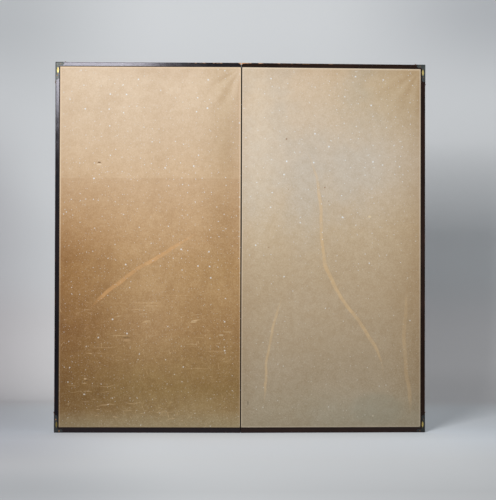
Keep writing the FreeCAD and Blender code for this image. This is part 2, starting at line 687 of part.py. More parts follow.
def panel(side):
    peg_holes = pegs(side)
    nail_holes = nails_for(side)
    core(side, peg_holes)
    papers(side)
    stile_tools = list(peg_holes["stile"])
    for corner in ("top", "bottom"):
        found = nail_holes[corner]
        rail_tools = peg_holes[corner] + [hole for key, hole in found.items() if key.startswith("rail")]
        stile_tools += [hole for key, hole in found.items() if key.startswith("stile")]
        lacquered_rail(side, corner, group(f"{side}_{corner}_rail_holes", rail_tools))
        fitting(side, corner, group(f"{side}_{corner}_fitting_holes", list(found.values())))
        inlay(side, corner)
    lacquered_stile(side, group(f"{side}_stile_holes", stile_tools))


def hinge_leaves():
    """The free middles of the paper hinge leaves, every other one turning the other way."""
    half = "sizes.hinge_leaf / 2"
    count = int(number("sizes.leaf_count"))
    for label, first, carrier in (("forward", 0, "left"), ("backward", 1, "right")):
        leaves = []
        for index in range(first, count, 2):
            leaves.append(block(f"{label}_leaf_{index}", carrier, (f"-{half}", half),
                                (f"-{PAPER_FACE}", PAPER_FACE), leaf_height_span(index)))
        finish(group(f"{label}_leaf_set", leaves), f"{label}_hinge_leaves", carrier)


for side_name in SIDES:
    panel(side_name)
hinge_leaves()
doc.recompute()

for item in doc.Objects:
    if "Invalid" in item.State or "Error" in item.State:
        raise ValueError(f"{item.Label} did not compute: {item.State}")
for item in subparts:
    if item.Shape.isNull() or not item.Shape.isValid() or not item.Shape.Solids:
        raise ValueError(f"{item.Label} has no sound shape")

os.makedirs("parts", exist_ok=True)
whole_box = FreeCAD.BoundBox()
for item in subparts:
    item.Shape.exportStep(f"parts/{item.Label}.step")
    whole_box.add(item.Shape.BoundBox)
    print(f"{item.Label}: {len(item.Shape.Solids)} solids, {item.Shape.Volume:.0f} mm3")
print(len(subparts), "sub-parts, whole box", whole_box)
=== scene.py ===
import json
import math

import bmesh
import bpy
from mathutils import Matrix, Quaternion, Vector, noise


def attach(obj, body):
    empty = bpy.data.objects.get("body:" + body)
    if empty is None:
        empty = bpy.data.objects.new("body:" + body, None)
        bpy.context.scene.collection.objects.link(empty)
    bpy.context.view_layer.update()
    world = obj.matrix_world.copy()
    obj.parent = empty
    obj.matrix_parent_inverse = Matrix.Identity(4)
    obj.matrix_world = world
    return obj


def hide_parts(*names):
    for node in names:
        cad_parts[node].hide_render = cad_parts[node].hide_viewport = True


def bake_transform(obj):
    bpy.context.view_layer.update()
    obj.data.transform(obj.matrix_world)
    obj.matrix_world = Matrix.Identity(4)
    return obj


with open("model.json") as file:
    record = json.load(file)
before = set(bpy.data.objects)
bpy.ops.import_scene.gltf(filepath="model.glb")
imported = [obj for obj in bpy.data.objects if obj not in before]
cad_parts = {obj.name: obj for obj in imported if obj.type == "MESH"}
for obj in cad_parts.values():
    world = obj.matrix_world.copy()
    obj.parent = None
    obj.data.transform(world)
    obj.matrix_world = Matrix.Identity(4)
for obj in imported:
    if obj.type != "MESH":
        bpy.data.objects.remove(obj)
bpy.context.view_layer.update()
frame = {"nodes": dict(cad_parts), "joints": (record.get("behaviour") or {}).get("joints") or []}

# Two-panel paper folding screen, seen from the front in a plain studio
# Lengths are in metres. Each panel has flat coordinates of its own: x runs outwards from the joint
# between the panels, y from the front to the back of the panel's mid-plane, and z upwards.

MM = 0.001

# Sizes that the panels share with the solids
SCREEN_HEIGHT = 1727 * MM
PANEL_WIDTH = 866.5 * MM
STILE_FACE = 21.5 * MM
TOP_RAIL_FACE = 21 * MM
BOTTOM_RAIL_FACE = 25 * MM
FRAME_HALF_DEPTH = 9.1 * MM
PAPER_FACE = 8.2 * MM
BASE_FACE = 7.8 * MM
JOINT_EDGE = 1 * MM
SHEET_THICKNESS = 0.4 * MM
SHEET_ROUND = 0.8 * MM
OUTER_ARRIS = 4 * MM

INNER_SIDE = PANEL_WIDTH - STILE_FACE
INNER_TOP = SCREEN_HEIGHT - TOP_RAIL_FACE
INNER_BOTTOM = BOTTOM_RAIL_FACE

SIDES = {"left": -1, "right": 1}
ACROSS, DEEP, UP = 0, 1, 2

JOINTS = {joint["name"]: joint for joint in frame["joints"]}
BACK_LINE = JOINTS["fold_backward"]["pos_m"]
FRONT_LINE = JOINTS["fold_forward"]["pos_m"]
PANEL_TURN = math.radians(-JOINTS["fold_backward"]["range_deg"][0] / 2)
FOLD_OFFSET = (BACK_LINE[1] - FRONT_LINE[1]) / (2 * math.cos(PANEL_TURN))


# Camera, from the picture's own lines
PICTURE_WIDTH = 496
CAMERA_DISTANCE = 8.0
CAMERA_AZIMUTH = math.radians(-2.042)
CAMERA_HEIGHT = 0.72
CAMERA_AIM = (0.0339, 0, 0.8523)
CAMERA_ROLL = math.radians(0.154)
FOCAL_PIXELS = 1711.3
SENSOR = 36


def make_camera():
    data = bpy.data.cameras.new("studio_camera")
    data.sensor_fit = "HORIZONTAL"
    data.sensor_width = SENSOR
    data.lens = FOCAL_PIXELS / PICTURE_WIDTH * SENSOR
    data.clip_end = 60
    camera = bpy.data.objects.new("studio_camera", data)
    bpy.context.scene.collection.objects.link(camera)
    camera.location = (
        CAMERA_DISTANCE * math.sin(CAMERA_AZIMUTH),
        -CAMERA_DISTANCE * math.cos(CAMERA_AZIMUTH),
        CAMERA_HEIGHT,
    )
    towards = Vector(CAMERA_AIM) - camera.location
    turn = towards.to_track_quat("-Z", "Y") @ Quaternion((0, 0, 1), CAMERA_ROLL)
    camera.rotation_euler = turn.to_euler()
    bpy.context.scene.camera = camera


# Node helpers

def colour(red, green, blue):
    """A linear colour from the eight-bit values that a painter's chart gives."""
    linear = []
    for value in (red, green, blue):
        share = value / 255
        linear.append(share / 12.92 if share <= 0.04045 else ((share + 0.055) / 1.055) ** 2.4)
    return (*linear, 1)


def add(tree, kind, inputs=None, **settings):
    """A shader node with its settings, whose inputs are given values or the sockets that feed them."""
    made = tree.nodes.new("ShaderNode" + kind)
    for name, value in settings.items():
        setattr(made, name, value)
    for key, value in (inputs or {}).items():
        feed(tree, made.inputs[key], value)
    return made


def feed(tree, socket, value):
    if isinstance(value, bpy.types.NodeSocket):
        tree.links.new(value, socket)
    else:
        socket.default_value = value


def reckon(tree, operation, first, second=0.0):
    """The result of one sum on two values."""
    return add(tree, "Math", {0: first, 1: second}, operation=operation).outputs[0]


def times(tree, first, second):
    return reckon(tree, "MULTIPLY", first, second)


def plus(tree, first, second):
    return reckon(tree, "ADD", first, second)


def minus(tree, first, second):
    return reckon(tree, "SUBTRACT", first, second)


def fade(tree, value, start, end, low=0.0, high=1.0):
    """Runs smoothly from low at start to high at end, and stays there."""
    inputs = {"Value": value, "From Min": start, "From Max": end, "To Min": low, "To Max": high}
    return add(tree, "MapRange", inputs, interpolation_type="SMOOTHSTEP").outputs["Result"]


def tint(tree, share, under, over, way="MIX"):
    """One colour laid over another by a share, or mixed with it in another way."""
    made = add(tree, "Mix", {0: share, 6: under, 7: over}, data_type="RGBA", blend_type=way)
    return made.outputs[2]


def dimmed(tree, share, tone, shade):
    """A tone multiplied by a paler shade, by a share."""
    return tint(tree, share, tone, shade, "MULTIPLY")


def with_fields(tree, place, tone, fields):
    """Fields of another tone, each where all its fades overlap."""
    for shade, way, strength, *fades in fields:
        share = strength
        for axis, *values in fades:
            share = times(tree, share, fade(tree, place[axis], *values))
        tone = tint(tree, share, tone, colour(*shade), way)
    return tone


def cloud(tree, vector, scale, detail=3.0, roughness=0.55, distortion=0.0):
    inputs = {"Vector": vector, "Scale": scale, "Detail": detail, "Roughness": roughness,
              "Distortion": distortion}
    return add(tree, "TexNoise", inputs).outputs["Fac"]


def parts_of(tree, vector):
    """The three coordinates of a place, or the three values of a colour."""
    return add(tree, "SeparateXYZ", {0: vector}).outputs


def placed(tree, vector, scale=(1, 1, 1), turn=(0, 0, 0), shift=(0, 0, 0)):
    inputs = {"Vector": vector, "Scale": scale, "Rotation": turn, "Location": shift}
    return add(tree, "Mapping", inputs).outputs[0]


def object_place(tree):
    return add(tree, "TexCoord").outputs["Object"]


def panel_place(tree, side):
    """Flat coordinates of the panel, with x outwards from the joint and y from the mid-plane."""
    hinge = BACK_LINE[1]
    shift = (-hinge * math.sin(PANEL_TURN), FOLD_OFFSET - hinge * math.cos(PANEL_TURN), 0)
    return placed(tree, object_place(tree), (SIDES[side], 1, 1), (0, 0, -PANEL_TURN), shift)


def ramp(tree, value, stops, interpolation="EASE"):
    """A colour that runs through stops of place and shade."""
    made = add(tree, "ValToRGB", {0: value})
    band = made.color_ramp
    band.interpolation = interpolation
    while len(band.elements) < len(stops):
        band.elements.new(0.5)
    for element, (place, shade) in zip(band.elements, stops):
        element.position = place
        element.color = colour(*shade)
    return made.outputs[0]


def node_of(tree, kind):
    return next(item for item in tree.nodes if item.type == kind)


def new_material(name):
    """An empty material and its Principled shader."""
    material = bpy.data.materials.new(name)
    material.use_nodes = True
    tree = material.node_tree
    return material, tree, node_of(tree, "BSDF_PRINCIPLED")


def finish(tree, shader, tone, roughness, height=None, strength=0, depth=0):
    """Colour, roughness, and where a height is given a surface that stands out by a depth."""
    feed(tree, shader.inputs["Base Color"], tone)
    feed(tree, shader.inputs["Roughness"], roughness)
    if height is not None:
        inputs = {"Height": height, "Strength": strength, "Distance": depth}
        feed(tree, shader.inputs["Normal"], add(tree, "Bump", inputs).outputs[0])


def new_group(name, inputs, outputs):
    """An empty node group with float inputs of given defaults, and float outputs."""
    tree = bpy.data.node_groups.new(name, "ShaderNodeTree")
    tree.interface.new_socket("Vector", in_out="INPUT", socket_type="NodeSocketVector")
    for label, value in inputs.items():
        socket = tree.interface.new_socket(label, in_out="INPUT", socket_type="NodeSocketFloat")
        socket.default_value = value
    for label in outputs:
        tree.interface.new_socket(label, in_out="OUTPUT", socket_type="NodeSocketFloat")
    return tree, tree.nodes.new("NodeGroupInput").outputs, tree.nodes.new("NodeGroupOutput").inputs


def use(tree, group, vector, **values):
    """A group placed in a material, with its own values."""
    made = tree.nodes.new("ShaderNodeGroup")
    made.node_tree = group
    feed(tree, made.inputs["Vector"], vector)
    for label, value in values.items():
        feed(tree, made.inputs[label.replace("_", " ").capitalize()], value)
    return made.outputs


# Shared effects

def make_paper_grain():
    """Fibre and mica grain of old paper, from coarse mottling to fine flecks."""
    tree, given, result = new_group("paper_grain", {}, ("Mottle", "Grit", "Fleck", "Fibre"))
    vector = given["Vector"]
    feed(tree, result["Mottle"], cloud(tree, vector, 30, 4, 0.6))
    feed(tree, result["Grit"], cloud(tree, vector, 150, 4, 0.8))
    feed(tree, result["Fleck"], cloud(tree, vector, 420, 3, 0.75))
    fibre = placed(tree, vector, (150, 150, 620), (0, 0.4, 0))
    feed(tree, result["Fibre"], cloud(tree, fibre, 1, 4, 0.6, 0.8))
    return tree


def make_dots():
    """Round spots strewn at random over a flat sheet, of which a share is there."""
    inputs = {"Spacing": 0.02, "Radius": 0.002, "Share": 0.3}
    tree, given, result = new_group("dots", inputs, ("Spot",))
    flat = placed(tree, given["Vector"], (1, 1, 1), (math.radians(-90), 0, 0))
    scale = reckon(tree, "DIVIDE", 1.0, given["Spacing"])
    cells = add(tree, "TexVoronoi", {"Vector": flat, "Scale": scale}, voronoi_dimensions="2D")
    chance = parts_of(tree, cells.outputs["Color"])
    distance = times(tree, cells.outputs["Distance"], given["Spacing"])
    radius = times(tree, given["Radius"], fade(tree, chance[1], 0, 1, 0.35, 1))
    ragged = fade(tree, cloud(tree, given["Vector"], 700, 2), 0.3, 0.7, 0.7, 1.25)
    radius = times(tree, radius, ragged)
    inside = fade(tree, reckon(tree, "DIVIDE", distance, radius), 1, 0.55)
    there = reckon(tree, "LESS_THAN", chance[0], given["Share"])
    feed(tree, result["Spot"], times(tree, inside, there))
    return tree


def make_scratches():
    """Short fine scratches that run more or less one way, where stretched noise passes a threshold."""
    inputs = {"Lean": 0.0, "Length": 0.04, "Amount": 0.72}
    tree, given, result = new_group("scratches", inputs, ("Scratch",))
    axis = add(tree, "CombineXYZ", {0: 0.0, 1: given["Lean"], 2: 0.0}).outputs[0]
    turned = add(tree, "VectorRotate", {"Vector": given["Vector"], "Rotation": axis},
                 rotation_type="EULER_XYZ").outputs[0]
    drift = cloud(tree, given["Vector"], 9, 2)
    place = parts_of(tree, turned)
    along = reckon(tree, "DIVIDE", place[ACROSS], given["Length"])
    across = times(tree, place[UP], 170.0)
    across = plus(tree, across, times(tree, drift, 9.0))
    vector = add(tree, "CombineXYZ", {0: along, 1: 0.0, 2: across}).outputs[0]
    streak = cloud(tree, vector, 1, 1, 0.4)
    start = minus(tree, 0.8, times(tree, given["Amount"], 0.2))
    feed(tree, result["Scratch"], fade(tree, streak, start, plus(tree, start, 0.06)))
    return tree


# How far the soiling reaches in from the sheets' edges
SOILED_REACH = 90 * MM


def make_sheet_rim():
    """Nearness to the edges of the papered field, from flat panel coordinates."""
    tree, given, result = new_group("sheet_rim", {"Width": 4 * MM}, ("Rim", "Near"))
    place = parts_of(tree, given["Vector"])
    gaps = [
        minus(tree, place[ACROSS], JOINT_EDGE),
        minus(tree, INNER_SIDE, place[ACROSS]),
        minus(tree, place[UP], INNER_BOTTOM),
        minus(tree, INNER_TOP, place[UP]),
    ]
    nearest = gaps[0]
    for gap in gaps[1:]:
        nearest = reckon(tree, "MINIMUM", nearest, gap)
    feed(tree, result["Rim"], fade(tree, reckon(tree, "DIVIDE", nearest, given["Width"]), 1.25, 0.75))
    feed(tree, result["Near"], fade(tree, nearest, SOILED_REACH, 0))
    return tree


def make_ribbon():
    """A faint stain that winds up the sheet, widest in the middle and thin at both ends."""
    inputs = {"Sway": 0.03, "Length": 0.9, "Phase": 0.0, "High": 1.0, "Width": 0.016}
    tree, given, result = new_group("ribbon", inputs, ("Stain", "Edge"))
    place = parts_of(tree, given["Vector"])
    wave = reckon(tree, "DIVIDE", place[UP], given["Length"])
    wave = plus(tree, times(tree, wave, 2 * math.pi), given["Phase"])
    centre = times(tree, reckon(tree, "SINE", wave), given["Sway"])
    wander = minus(tree, cloud(tree, given["Vector"], 7, 2), 0.5)
    centre = plus(tree, centre, times(tree, wander, 0.03))
    offset = minus(tree, place[ACROSS], centre)
    span = reckon(tree, "DIVIDE", place[UP], given["High"])
    swell = times(tree, fade(tree, span, 0, 0.18), fade(tree, span, 1, 0.75))
    half = times(tree, times(tree, given["Width"], 0.5), plus(tree, times(tree, swell, 0.8), 0.2))
    ratio = reckon(tree, "DIVIDE", offset, half)
    away = reckon(tree, "ABSOLUTE", ratio)
    body = times(tree, fade(tree, away, 1.25, 0.6), reckon(tree, "MINIMUM", swell, 1.0))
    patchy = fade(tree, cloud(tree, given["Vector"], 22, 3), 0.3, 0.65, 0.45, 1)
    feed(tree, result["Stain"], times(tree, body, patchy))
    margin = reckon(tree, "ABSOLUTE", minus(tree, ratio, 1.1))
    edge = times(tree, fade(tree, margin, 0.35, 0.0), swell)
    feed(tree, result["Edge"], times(tree, edge, patchy))
    return tree


def make_arris():
    """How near a place is to the rounded outer edges of the frame, from flat panel coordinates."""
    tree, given, result = new_group("arris", {"Radius": OUTER_ARRIS}, ("Crest", "Inner"))
    place = parts_of(tree, given["Vector"])
    outer = minus(tree, PANEL_WIDTH, place[ACROSS])
    outer = reckon(tree, "MINIMUM", outer, place[UP])
    outer = reckon(tree, "MINIMUM", outer, minus(tree, SCREEN_HEIGHT, place[UP]))
    depth = minus(tree, FRAME_HALF_DEPTH, reckon(tree, "ABSOLUTE", place[DEEP]))
    both = reckon(tree, "DIVIDE", plus(tree, outer, depth), given["Radius"])
    feed(tree, result["Crest"], fade(tree, both, 1.0, 0.62))
    inner = minus(tree, STILE_FACE, outer)
    feed(tree, result["Inner"], fade(tree, inner, 5 * MM, 1.5 * MM))
    return tree


def make_grain():
    """Long wood grain that runs along the piece's own x."""
    tree, given, result = new_group("wood_grain", {}, ("Grain", "Pore"))
    long = placed(tree, given["Vector"], (2.2, 60, 60))
    feed(tree, result["Grain"], cloud(tree, long, 1, 5, 0.6, 0.6))
    fine = placed(tree, given["Vector"], (18, 900, 900))
    feed(tree, result["Pore"], cloud(tree, fine, 1, 2, 0.5))
    return tree


PAPER_GRAIN = make_paper_grain()
DOTS = make_dots()
SCRATCHES = make_scratches()
SHEET_RIM = make_sheet_rim()
RIBBON = make_ribbon()
ARRIS = make_arris()
WOOD_GRAIN = make_grain()


# Papers

# Height of the seam where two sheets of a front paper overlap, and the shadow line under it
SHEET_SEAM = {"left": 1187 * MM}
SEAM_SHADOW = 4 * MM

# Where a finish changes: its heights in metres, and its values at both where they aren't 0 and 1
LEFT_PATCHES = (1.15, 0.7)
LEFT_SCUFFS = (0.8, 0.5)
LEFT_GRAIN = (0.7, 1.4, 0.23, 0.14)
LEFT_RIM = (0.5, 1.3, 0.13, 0.62)
RIGHT_BLOOM = (0.75, 1.1, 0.1, 0.42)
RIGHT_GRAIN = (0.8, 1.4, 0.17, 0.14)
RIGHT_RIM = (0.3, 1.3, 0.26, 0.6)
SPECK_HEIGHTS = (0.5, 1.3)
DULL_SPECKS = (1.2, 0.3, 0, 0.45)
# Width of the joint's dark band, part grime and part painted shade of the gap; it grows upwards on the right
# paper
LEFT_GRIME_AND_SHADE = 1.3 * MM
RIGHT_GRIME_AND_SHADE = (0.7, 1.0, 2.2 * MM, 3.3 * MM)

# Fields of another tone on the papers: shade, the way it is laid on, strength, and the fades that bound it,
# each with its axis, start and end in metres, and its values there where they aren't 0 and 1
LEFT_FIELDS = (
    ((220, 204, 178), "MULTIPLY", 1, (ACROSS, 0.40, 0.84), (UP, 1.3, 0.75)),
    ((236, 232, 222), "MULTIPLY", 1, (ACROSS, 0.26, 0.02), (UP, 0.62, 0.8), (ACROSS, 0.0, 0.08, 0.3, 1)),
    ((186, 158, 126), "MIX", 0.17, (ACROSS, 0.18, 0.42), (ACROSS, 0.66, 0.42), (UP, 0.2, 0.5),
     (UP, 1.0, 0.7)),
    ((150, 142, 116), "MIX", 0.45, (UP, 0.12, 0.03)),
    ((160, 122, 84), "MIX", 0.2, (UP, SHEET_SEAM["left"], SHEET_SEAM["left"] - SEAM_SHADOW),
     (UP, 0.86, 1.17)),
)
RIGHT_FIELDS = (
    ((212, 193, 154), "MULTIPLY", 0.32, (ACROSS, 0.62, 0.84)),
    ((240, 238, 228), "MULTIPLY", 1, (ACROSS, 0.26, 0.7), (UP, 1.25, 1.6)),
    ((232, 218, 196), "MIX", 0.2, (ACROSS, 0.3, 0.02), (UP, 0.6, 1.2)),
    ((142, 138, 122), "MIX", 0.45, (UP, 0.24, 0.04), (ACROSS, 0.2, 0.45)),
)

# Stains: across and height of the foot, lean towards the outer side, the stain's own values, and strength
LEFT_RIBBONS = (
    (0.715, 0.56, math.radians(-52), dict(sway=0.02, length=0.9, phase=0.2, high=0.66, width=0.018), 0.46),
)
RIGHT_RIBBONS = (
    (0.64, 0.23, math.radians(-19), dict(sway=0.05, length=0.95, phase=0.9, high=1.2, width=0.017), 0.36),
    (0.1, 0.12, math.radians(9), dict(sway=0.012, length=0.7, phase=2.2, high=0.56, width=0.012), 0.26),
    (0.79, 0.06, math.radians(-2), dict(sway=0.01, length=0.6, phase=1.0, high=0.66, width=0.018), 0.16),
)

# Marks on the papers: across, height, half width and half height in metres, share and colour
LEFT_MARKS = (
    (0.661, 1.259, 0.0085, 0.0032, 0.9, (96, 66, 36)),
    (0.662, 1.249, 0.012, 0.004, 0.35, (232, 216, 190)),
    # A dark smudge over the dent and a paler one below it: the dent's painted shade and highlight
    (0.532, 0.442, 0.020, 0.004, 0.6, (106, 80, 48)),
    (0.530, 0.430, 0.019, 0.006, 0.35, (176, 146, 110)),
    (0.722, 0.250, 0.007, 0.003, 0.6, (208, 182, 148)),
    (0.716, 0.243, 0.006, 0.003, 0.7, (92, 66, 40)),
    (0.090, 0.455, 0.012, 0.005, 0.3, (206, 190, 162)),
    (0.440, 0.604, 0.075, 0.0016, 0.5, (198, 166, 124)),
    (0.405, 0.590, 0.050, 0.0014, 0.5, (198, 166, 124)),
    (0.480, 0.573, 0.040, 0.0014, 0.45, (198, 166, 124)),
    (0.560, 0.452, 0.045, 0.0014, 0.45, (198, 170, 130)),
    (0.300, 0.640, 0.090, 0.0013, 0.35, (192, 160, 118)),
    (0.640, 0.395, 0.060, 0.0014, 0.35, (192, 162, 122)),
    (0.060, 0.470, 0.026, 0.0018, 0.35, (206, 184, 148)),
    (0.120, 0.380, 0.050, 0.0014, 0.35, (194, 164, 124)),
    (0.200, 0.300, 0.060, 0.0014, 0.3, (186, 156, 116)),
)
RIGHT_MARKS = (
    (0.212, 1.372, 0.0045, 0.0040, 0.75, (134, 96, 68)),
    (0.392, 1.146, 0.0040, 0.0035, 0.7, (134, 96, 68)),
    (0.410, 1.082, 0.0030, 0.0030, 0.6, (134, 100, 70)),
    (0.222, 1.136, 0.0028, 0.0028, 0.5, (140, 106, 74)),
    (0.128, 0.864, 0.0034, 0.0030, 0.6, (134, 100, 70)),
    (0.034, 0.140, 0.0036, 0.0110, 0.55, (98, 86, 66)),
    (0.604, 1.010, 0.0080, 0.0050, 0.45, (226, 206, 166)),
    (0.620, 0.078, 0.0050, 0.0050, 0.5, (196, 186, 166)),
    (0.640, 0.110, 0.1300, 0.0800, 0.3, (126, 124, 108)),
)

# Scuffs low on the left paper: lean and length of the scratches, scale of their patches, and strength
SCUFFS = (
    (0.04, 0.07, 5.0, 0.6),
    (0.0, 0.14, 3.0, 0.3),
    (1.25, 0.034, 6.5, 0.34),
    (-0.7, 0.03, 8.0, 0.3),
)

# Tension folds: across and height of the corner they start from, and the direction of their middle
TENSION = {
    "left": (0.004, 1.702, math.radians(-58)),
    "right": (0.840, 1.702, math.radians(-122)),
}
# Their number in a full turn, where their painted shade and highlight come in and die away outwards, and how
# wide they spread
FOLD_COUNT = 12
SHADE_START = (0.01, 0.06)
SHADE_END = (0.3, 0.1)
SHADE_SPREAD = (0.8, 0.4)

# Specks: spacing and radius in metres, the share that is there at the foot and above, and strength
SPECKS = (
    (0.066, 0.0049, 0.17, 0.40, 0.74),
    (0.034, 0.0032, 0.26, 0.37, 0.6),
    (0.015, 0.0020, 0.42, 0.35, 0.46),
)


def layered_paper(tree, place, tone, grain_depth):
    """Mottling, grit and flecks laid over a base tone."""
    grain = use(tree, PAPER_GRAIN, place)
    soiled = colour(214, 198, 170)
    mottled = times(tree, fade(tree, grain["Mottle"], 0.62, 0.36), grain_depth)
    dark = dimmed(tree, mottled, tone, soiled)
    gritty = times(tree, fade(tree, grain["Grit"], 0.58, 0.36, 0, 1.6), grain_depth)
    dark = dimmed(tree, gritty, dark, soiled)
    rubbed = times(tree, fade(tree, grain["Grit"], 0.52, 0.7, 0, 0.34), grain_depth)
    pale = tint(tree, rubbed, dark, colour(250, 236, 210))
    # Pale flecks: painted glints of the mica
    painted_glint = fade(tree, grain["Fleck"], 0.6, 0.7, 0, 0.14)
    return tint(tree, painted_glint, pale, colour(250, 244, 230)), grain


def left_paper():
    """Warm gold-brown mica paper, paler above, darker and scratched below."""
    material, tree, shader = new_material("left_mica_paper")
    place = panel_place(tree, "left")
    flat = parts_of(tree, place)
    waver = times(tree, minus(tree, cloud(tree, place, 2.6, 2), 0.5), 0.14)
    level = reckon(tree, "DIVIDE", plus(tree, flat[UP], waver), SCREEN_HEIGHT)
    # Paler towards the top: partly the paper's own toning, partly a painted sheen of the light from above on
    # the mica
    tone = ramp(tree, level, (
        (0.0, (142, 123, 90)),
        (0.12, (133, 108, 65)),
        (0.28, (151, 119, 77)),
        (0.44, (177, 145, 102)),
        (0.52, (181, 149, 110)),
        (0.60, (189, 159, 123)),
        (0.67, (197, 170, 138)),
        (0.80, (200, 177, 150)),
        (0.95, (212, 192, 168)),
    ), "LINEAR")
    olive = fade(tree, cloud(tree, place, 3.4, 3, 0.5), 0.45, 0.7, 0, 0.14)
    tone = dimmed(tree, olive, tone, colour(172, 140, 84))
    patchy = fade(tree, cloud(tree, place, 11, 4, 0.6), 0.4, 0.62, 0, 0.22)
    patchy = times(tree, patchy, fade(tree, flat[UP], *LEFT_PATCHES))
    tone = dimmed(tree, patchy, tone, colour(216, 196, 160))
    tone = with_fields(tree, flat, tone, LEFT_FIELDS)

    tone, grain = layered_paper(tree, place, tone, fade(tree, flat[UP], *LEFT_GRAIN))
    tone = stained(tree, place, tone, LEFT_RIBBONS, colour(208, 158, 104))

    tone = painted_fold_shading(tree, place, flat, tone, "left")
    tone = scattered_specks(tree, place, flat[UP], tone, 1, 1)
    scuffed = fade(tree, flat[UP], *LEFT_SCUFFS)
    for lean, length, patch, strength in SCUFFS:
        scratch = use(tree, SCRATCHES, place, lean=lean, length=length)["Scratch"]
        patches = times(tree, scuffed, fade(tree, cloud(tree, place, patch, 2), 0.53, 0.64, 0, strength))
        tone = tint(tree, times(tree, scratch, patches), tone, colour(206, 178, 138))
    tone = marked(tree, flat, tone, LEFT_MARKS)
    rubbed = fade(tree, flat[UP], *LEFT_RIM)
    tone = paler_rim(tree, place, tone, colour(234, 209, 178), rubbed, LEFT_GRIME_AND_SHADE)
    finish_paper(tree, shader, tone, grain)
    return material


def slanted(tree, place, across, height, lean):
    """The panel's place turned and moved so that z runs along a line from a foot."""
    shift = (height * math.sin(lean) - across * math.cos(lean), 0,
             -across * math.sin(lean) - height * math.cos(lean))
    return placed(tree, place, (1, 1, 1), (0, -lean, 0), shift)


def stained(tree, place, tone, ribbons, shade):
    """Ribbons of stain with a thin darker margin."""
    for across, height, lean, values, share in ribbons:
        stain = use(tree, RIBBON, slanted(tree, place, across, height, lean), **values)
        tone = tint(tree, times(tree, stain["Stain"], share), tone, shade)
        tone = tint(tree, times(tree, stain["Edge"], share * 0.3), tone, colour(140, 110, 72))
    return tone


def marked(tree, flat, tone, marks):
    """Small soft-edged spots of other colours."""
    for across, height, wide, high, share, shade in marks:
        x = reckon(tree, "DIVIDE", minus(tree, flat[ACROSS], across), wide)
        z = reckon(tree, "DIVIDE", minus(tree, flat[UP], height), high)
        radius = plus(tree, times(tree, x, x), times(tree, z, z))
        tone = tint(tree, fade(tree, radius, 1.3, 0.4, 0, share), tone, colour(*shade))
    return tone


def painted_fold_shading(tree, place, flat, tone, side):
    """Painted shade and highlight in faint bands, where the paper is drawn tight from a top corner into
    folds.
    """
    corner_x, corner_z, middle = TENSION[side]
    across = minus(tree, flat[ACROSS], corner_x)
    down = minus(tree, flat[UP], corner_z)
    angle = reckon(tree, "ARCTAN2", down, across)
    reach = plus(tree, times(tree, across, across), times(tree, down, down))
    reach = reckon(tree, "SQRT", reach)
    near = times(tree, fade(tree, reach, *SHADE_START), fade(tree, reach, *SHADE_END))
    drift = times(tree, cloud(tree, place, 9, 2), 3.0)
    wave = reckon(tree, "SINE", plus(tree, times(tree, angle, FOLD_COUNT), drift))
    turned_off = reckon(tree, "ABSOLUTE", minus(tree, angle, middle))
    near = times(tree, near, fade(tree, turned_off, *SHADE_SPREAD))
    dark = times(tree, fade(tree, wave, 0, 1), near)
    pale = times(tree, fade(tree, wave, 0, -1), near)
    # Painted shade on one side of each fold, and a painted highlight on the other
    tone = dimmed(tree, times(tree, dark, 0.19), tone, colour(208, 188, 160))
    return tint(tree, times(tree, pale, 0.06), tone, colour(244, 230, 206))


def scattered_specks(tree, place, height, tone, below, above):
    """Pale specks of three sizes, where the mica has flaked, duller towards the foot."""
    pale = tint(tree, fade(tree, height, *DULL_SPECKS), colour(222, 230, 235), colour(176, 160, 130))
    for spacing, radius, foot_share, head_share, strength in SPECKS:
        share = fade(tree, height, *SPECK_HEIGHTS, foot_share * below, head_share * above)
        spot = use(tree, DOTS, place, spacing=spacing, radius=radius, share=share)["Spot"]
        tone = tint(tree, times(tree, spot, strength), tone, pale)
    return tone


# Width of the rubbed line round the sheets, and half the soft edge of the joint's dark band of grime and
# painted shade
RUBBED_RIM = 5.8 * MM
GRIME_AND_SHADE_SOFT = 0.5 * MM


def paler_rim(tree, place, tone, shade, share, grime_and_shade):
    """A rubbed pale line round the sheet, and a dark band of grime and painted shade of the gap where it
    turns into the joint.
    """
    rim = use(tree, SHEET_RIM, place, width=RUBBED_RIM)
    tone = dimmed(tree, times(tree, rim["Near"], 0.12), tone, colour(190, 160, 124))
    tone = tint(tree, times(tree, rim["Rim"], share), tone, shade)
    edge = parts_of(tree, place)[ACROSS]
    # Near black along the joint edge: part grime, part painted shade of the gap between the panels
    grime_and_shade_share = fade(tree, minus(tree, edge, grime_and_shade), JOINT_EDGE + GRIME_AND_SHADE_SOFT, JOINT_EDGE - GRIME_AND_SHADE_SOFT, 0, 0.95)
    return tint(tree, grime_and_shade_share, tone, colour(40, 30, 20))


def finish_paper(tree, shader, tone, grain):
    """Matt paper with a faint shimmer of mica and a fibrous surface."""
    height = plus(tree, grain["Fibre"], times(tree, grain["Mottle"], 0.8))
    finish(tree, shader, tone, fade(tree, grain["Fleck"], 0.3, 0.72, 0.74, 0.5), height, 0.35, 0.6 * MM)
    shader.inputs["Specular IOR Level"].default_value = 0.2


# How far the grain and specks are moved on the right paper, so that they don't repeat the left one's
RIGHT_SHIFT = (2.31, 0, 1.17)
BLOOM_ACROSS = (0.84, 0.55)


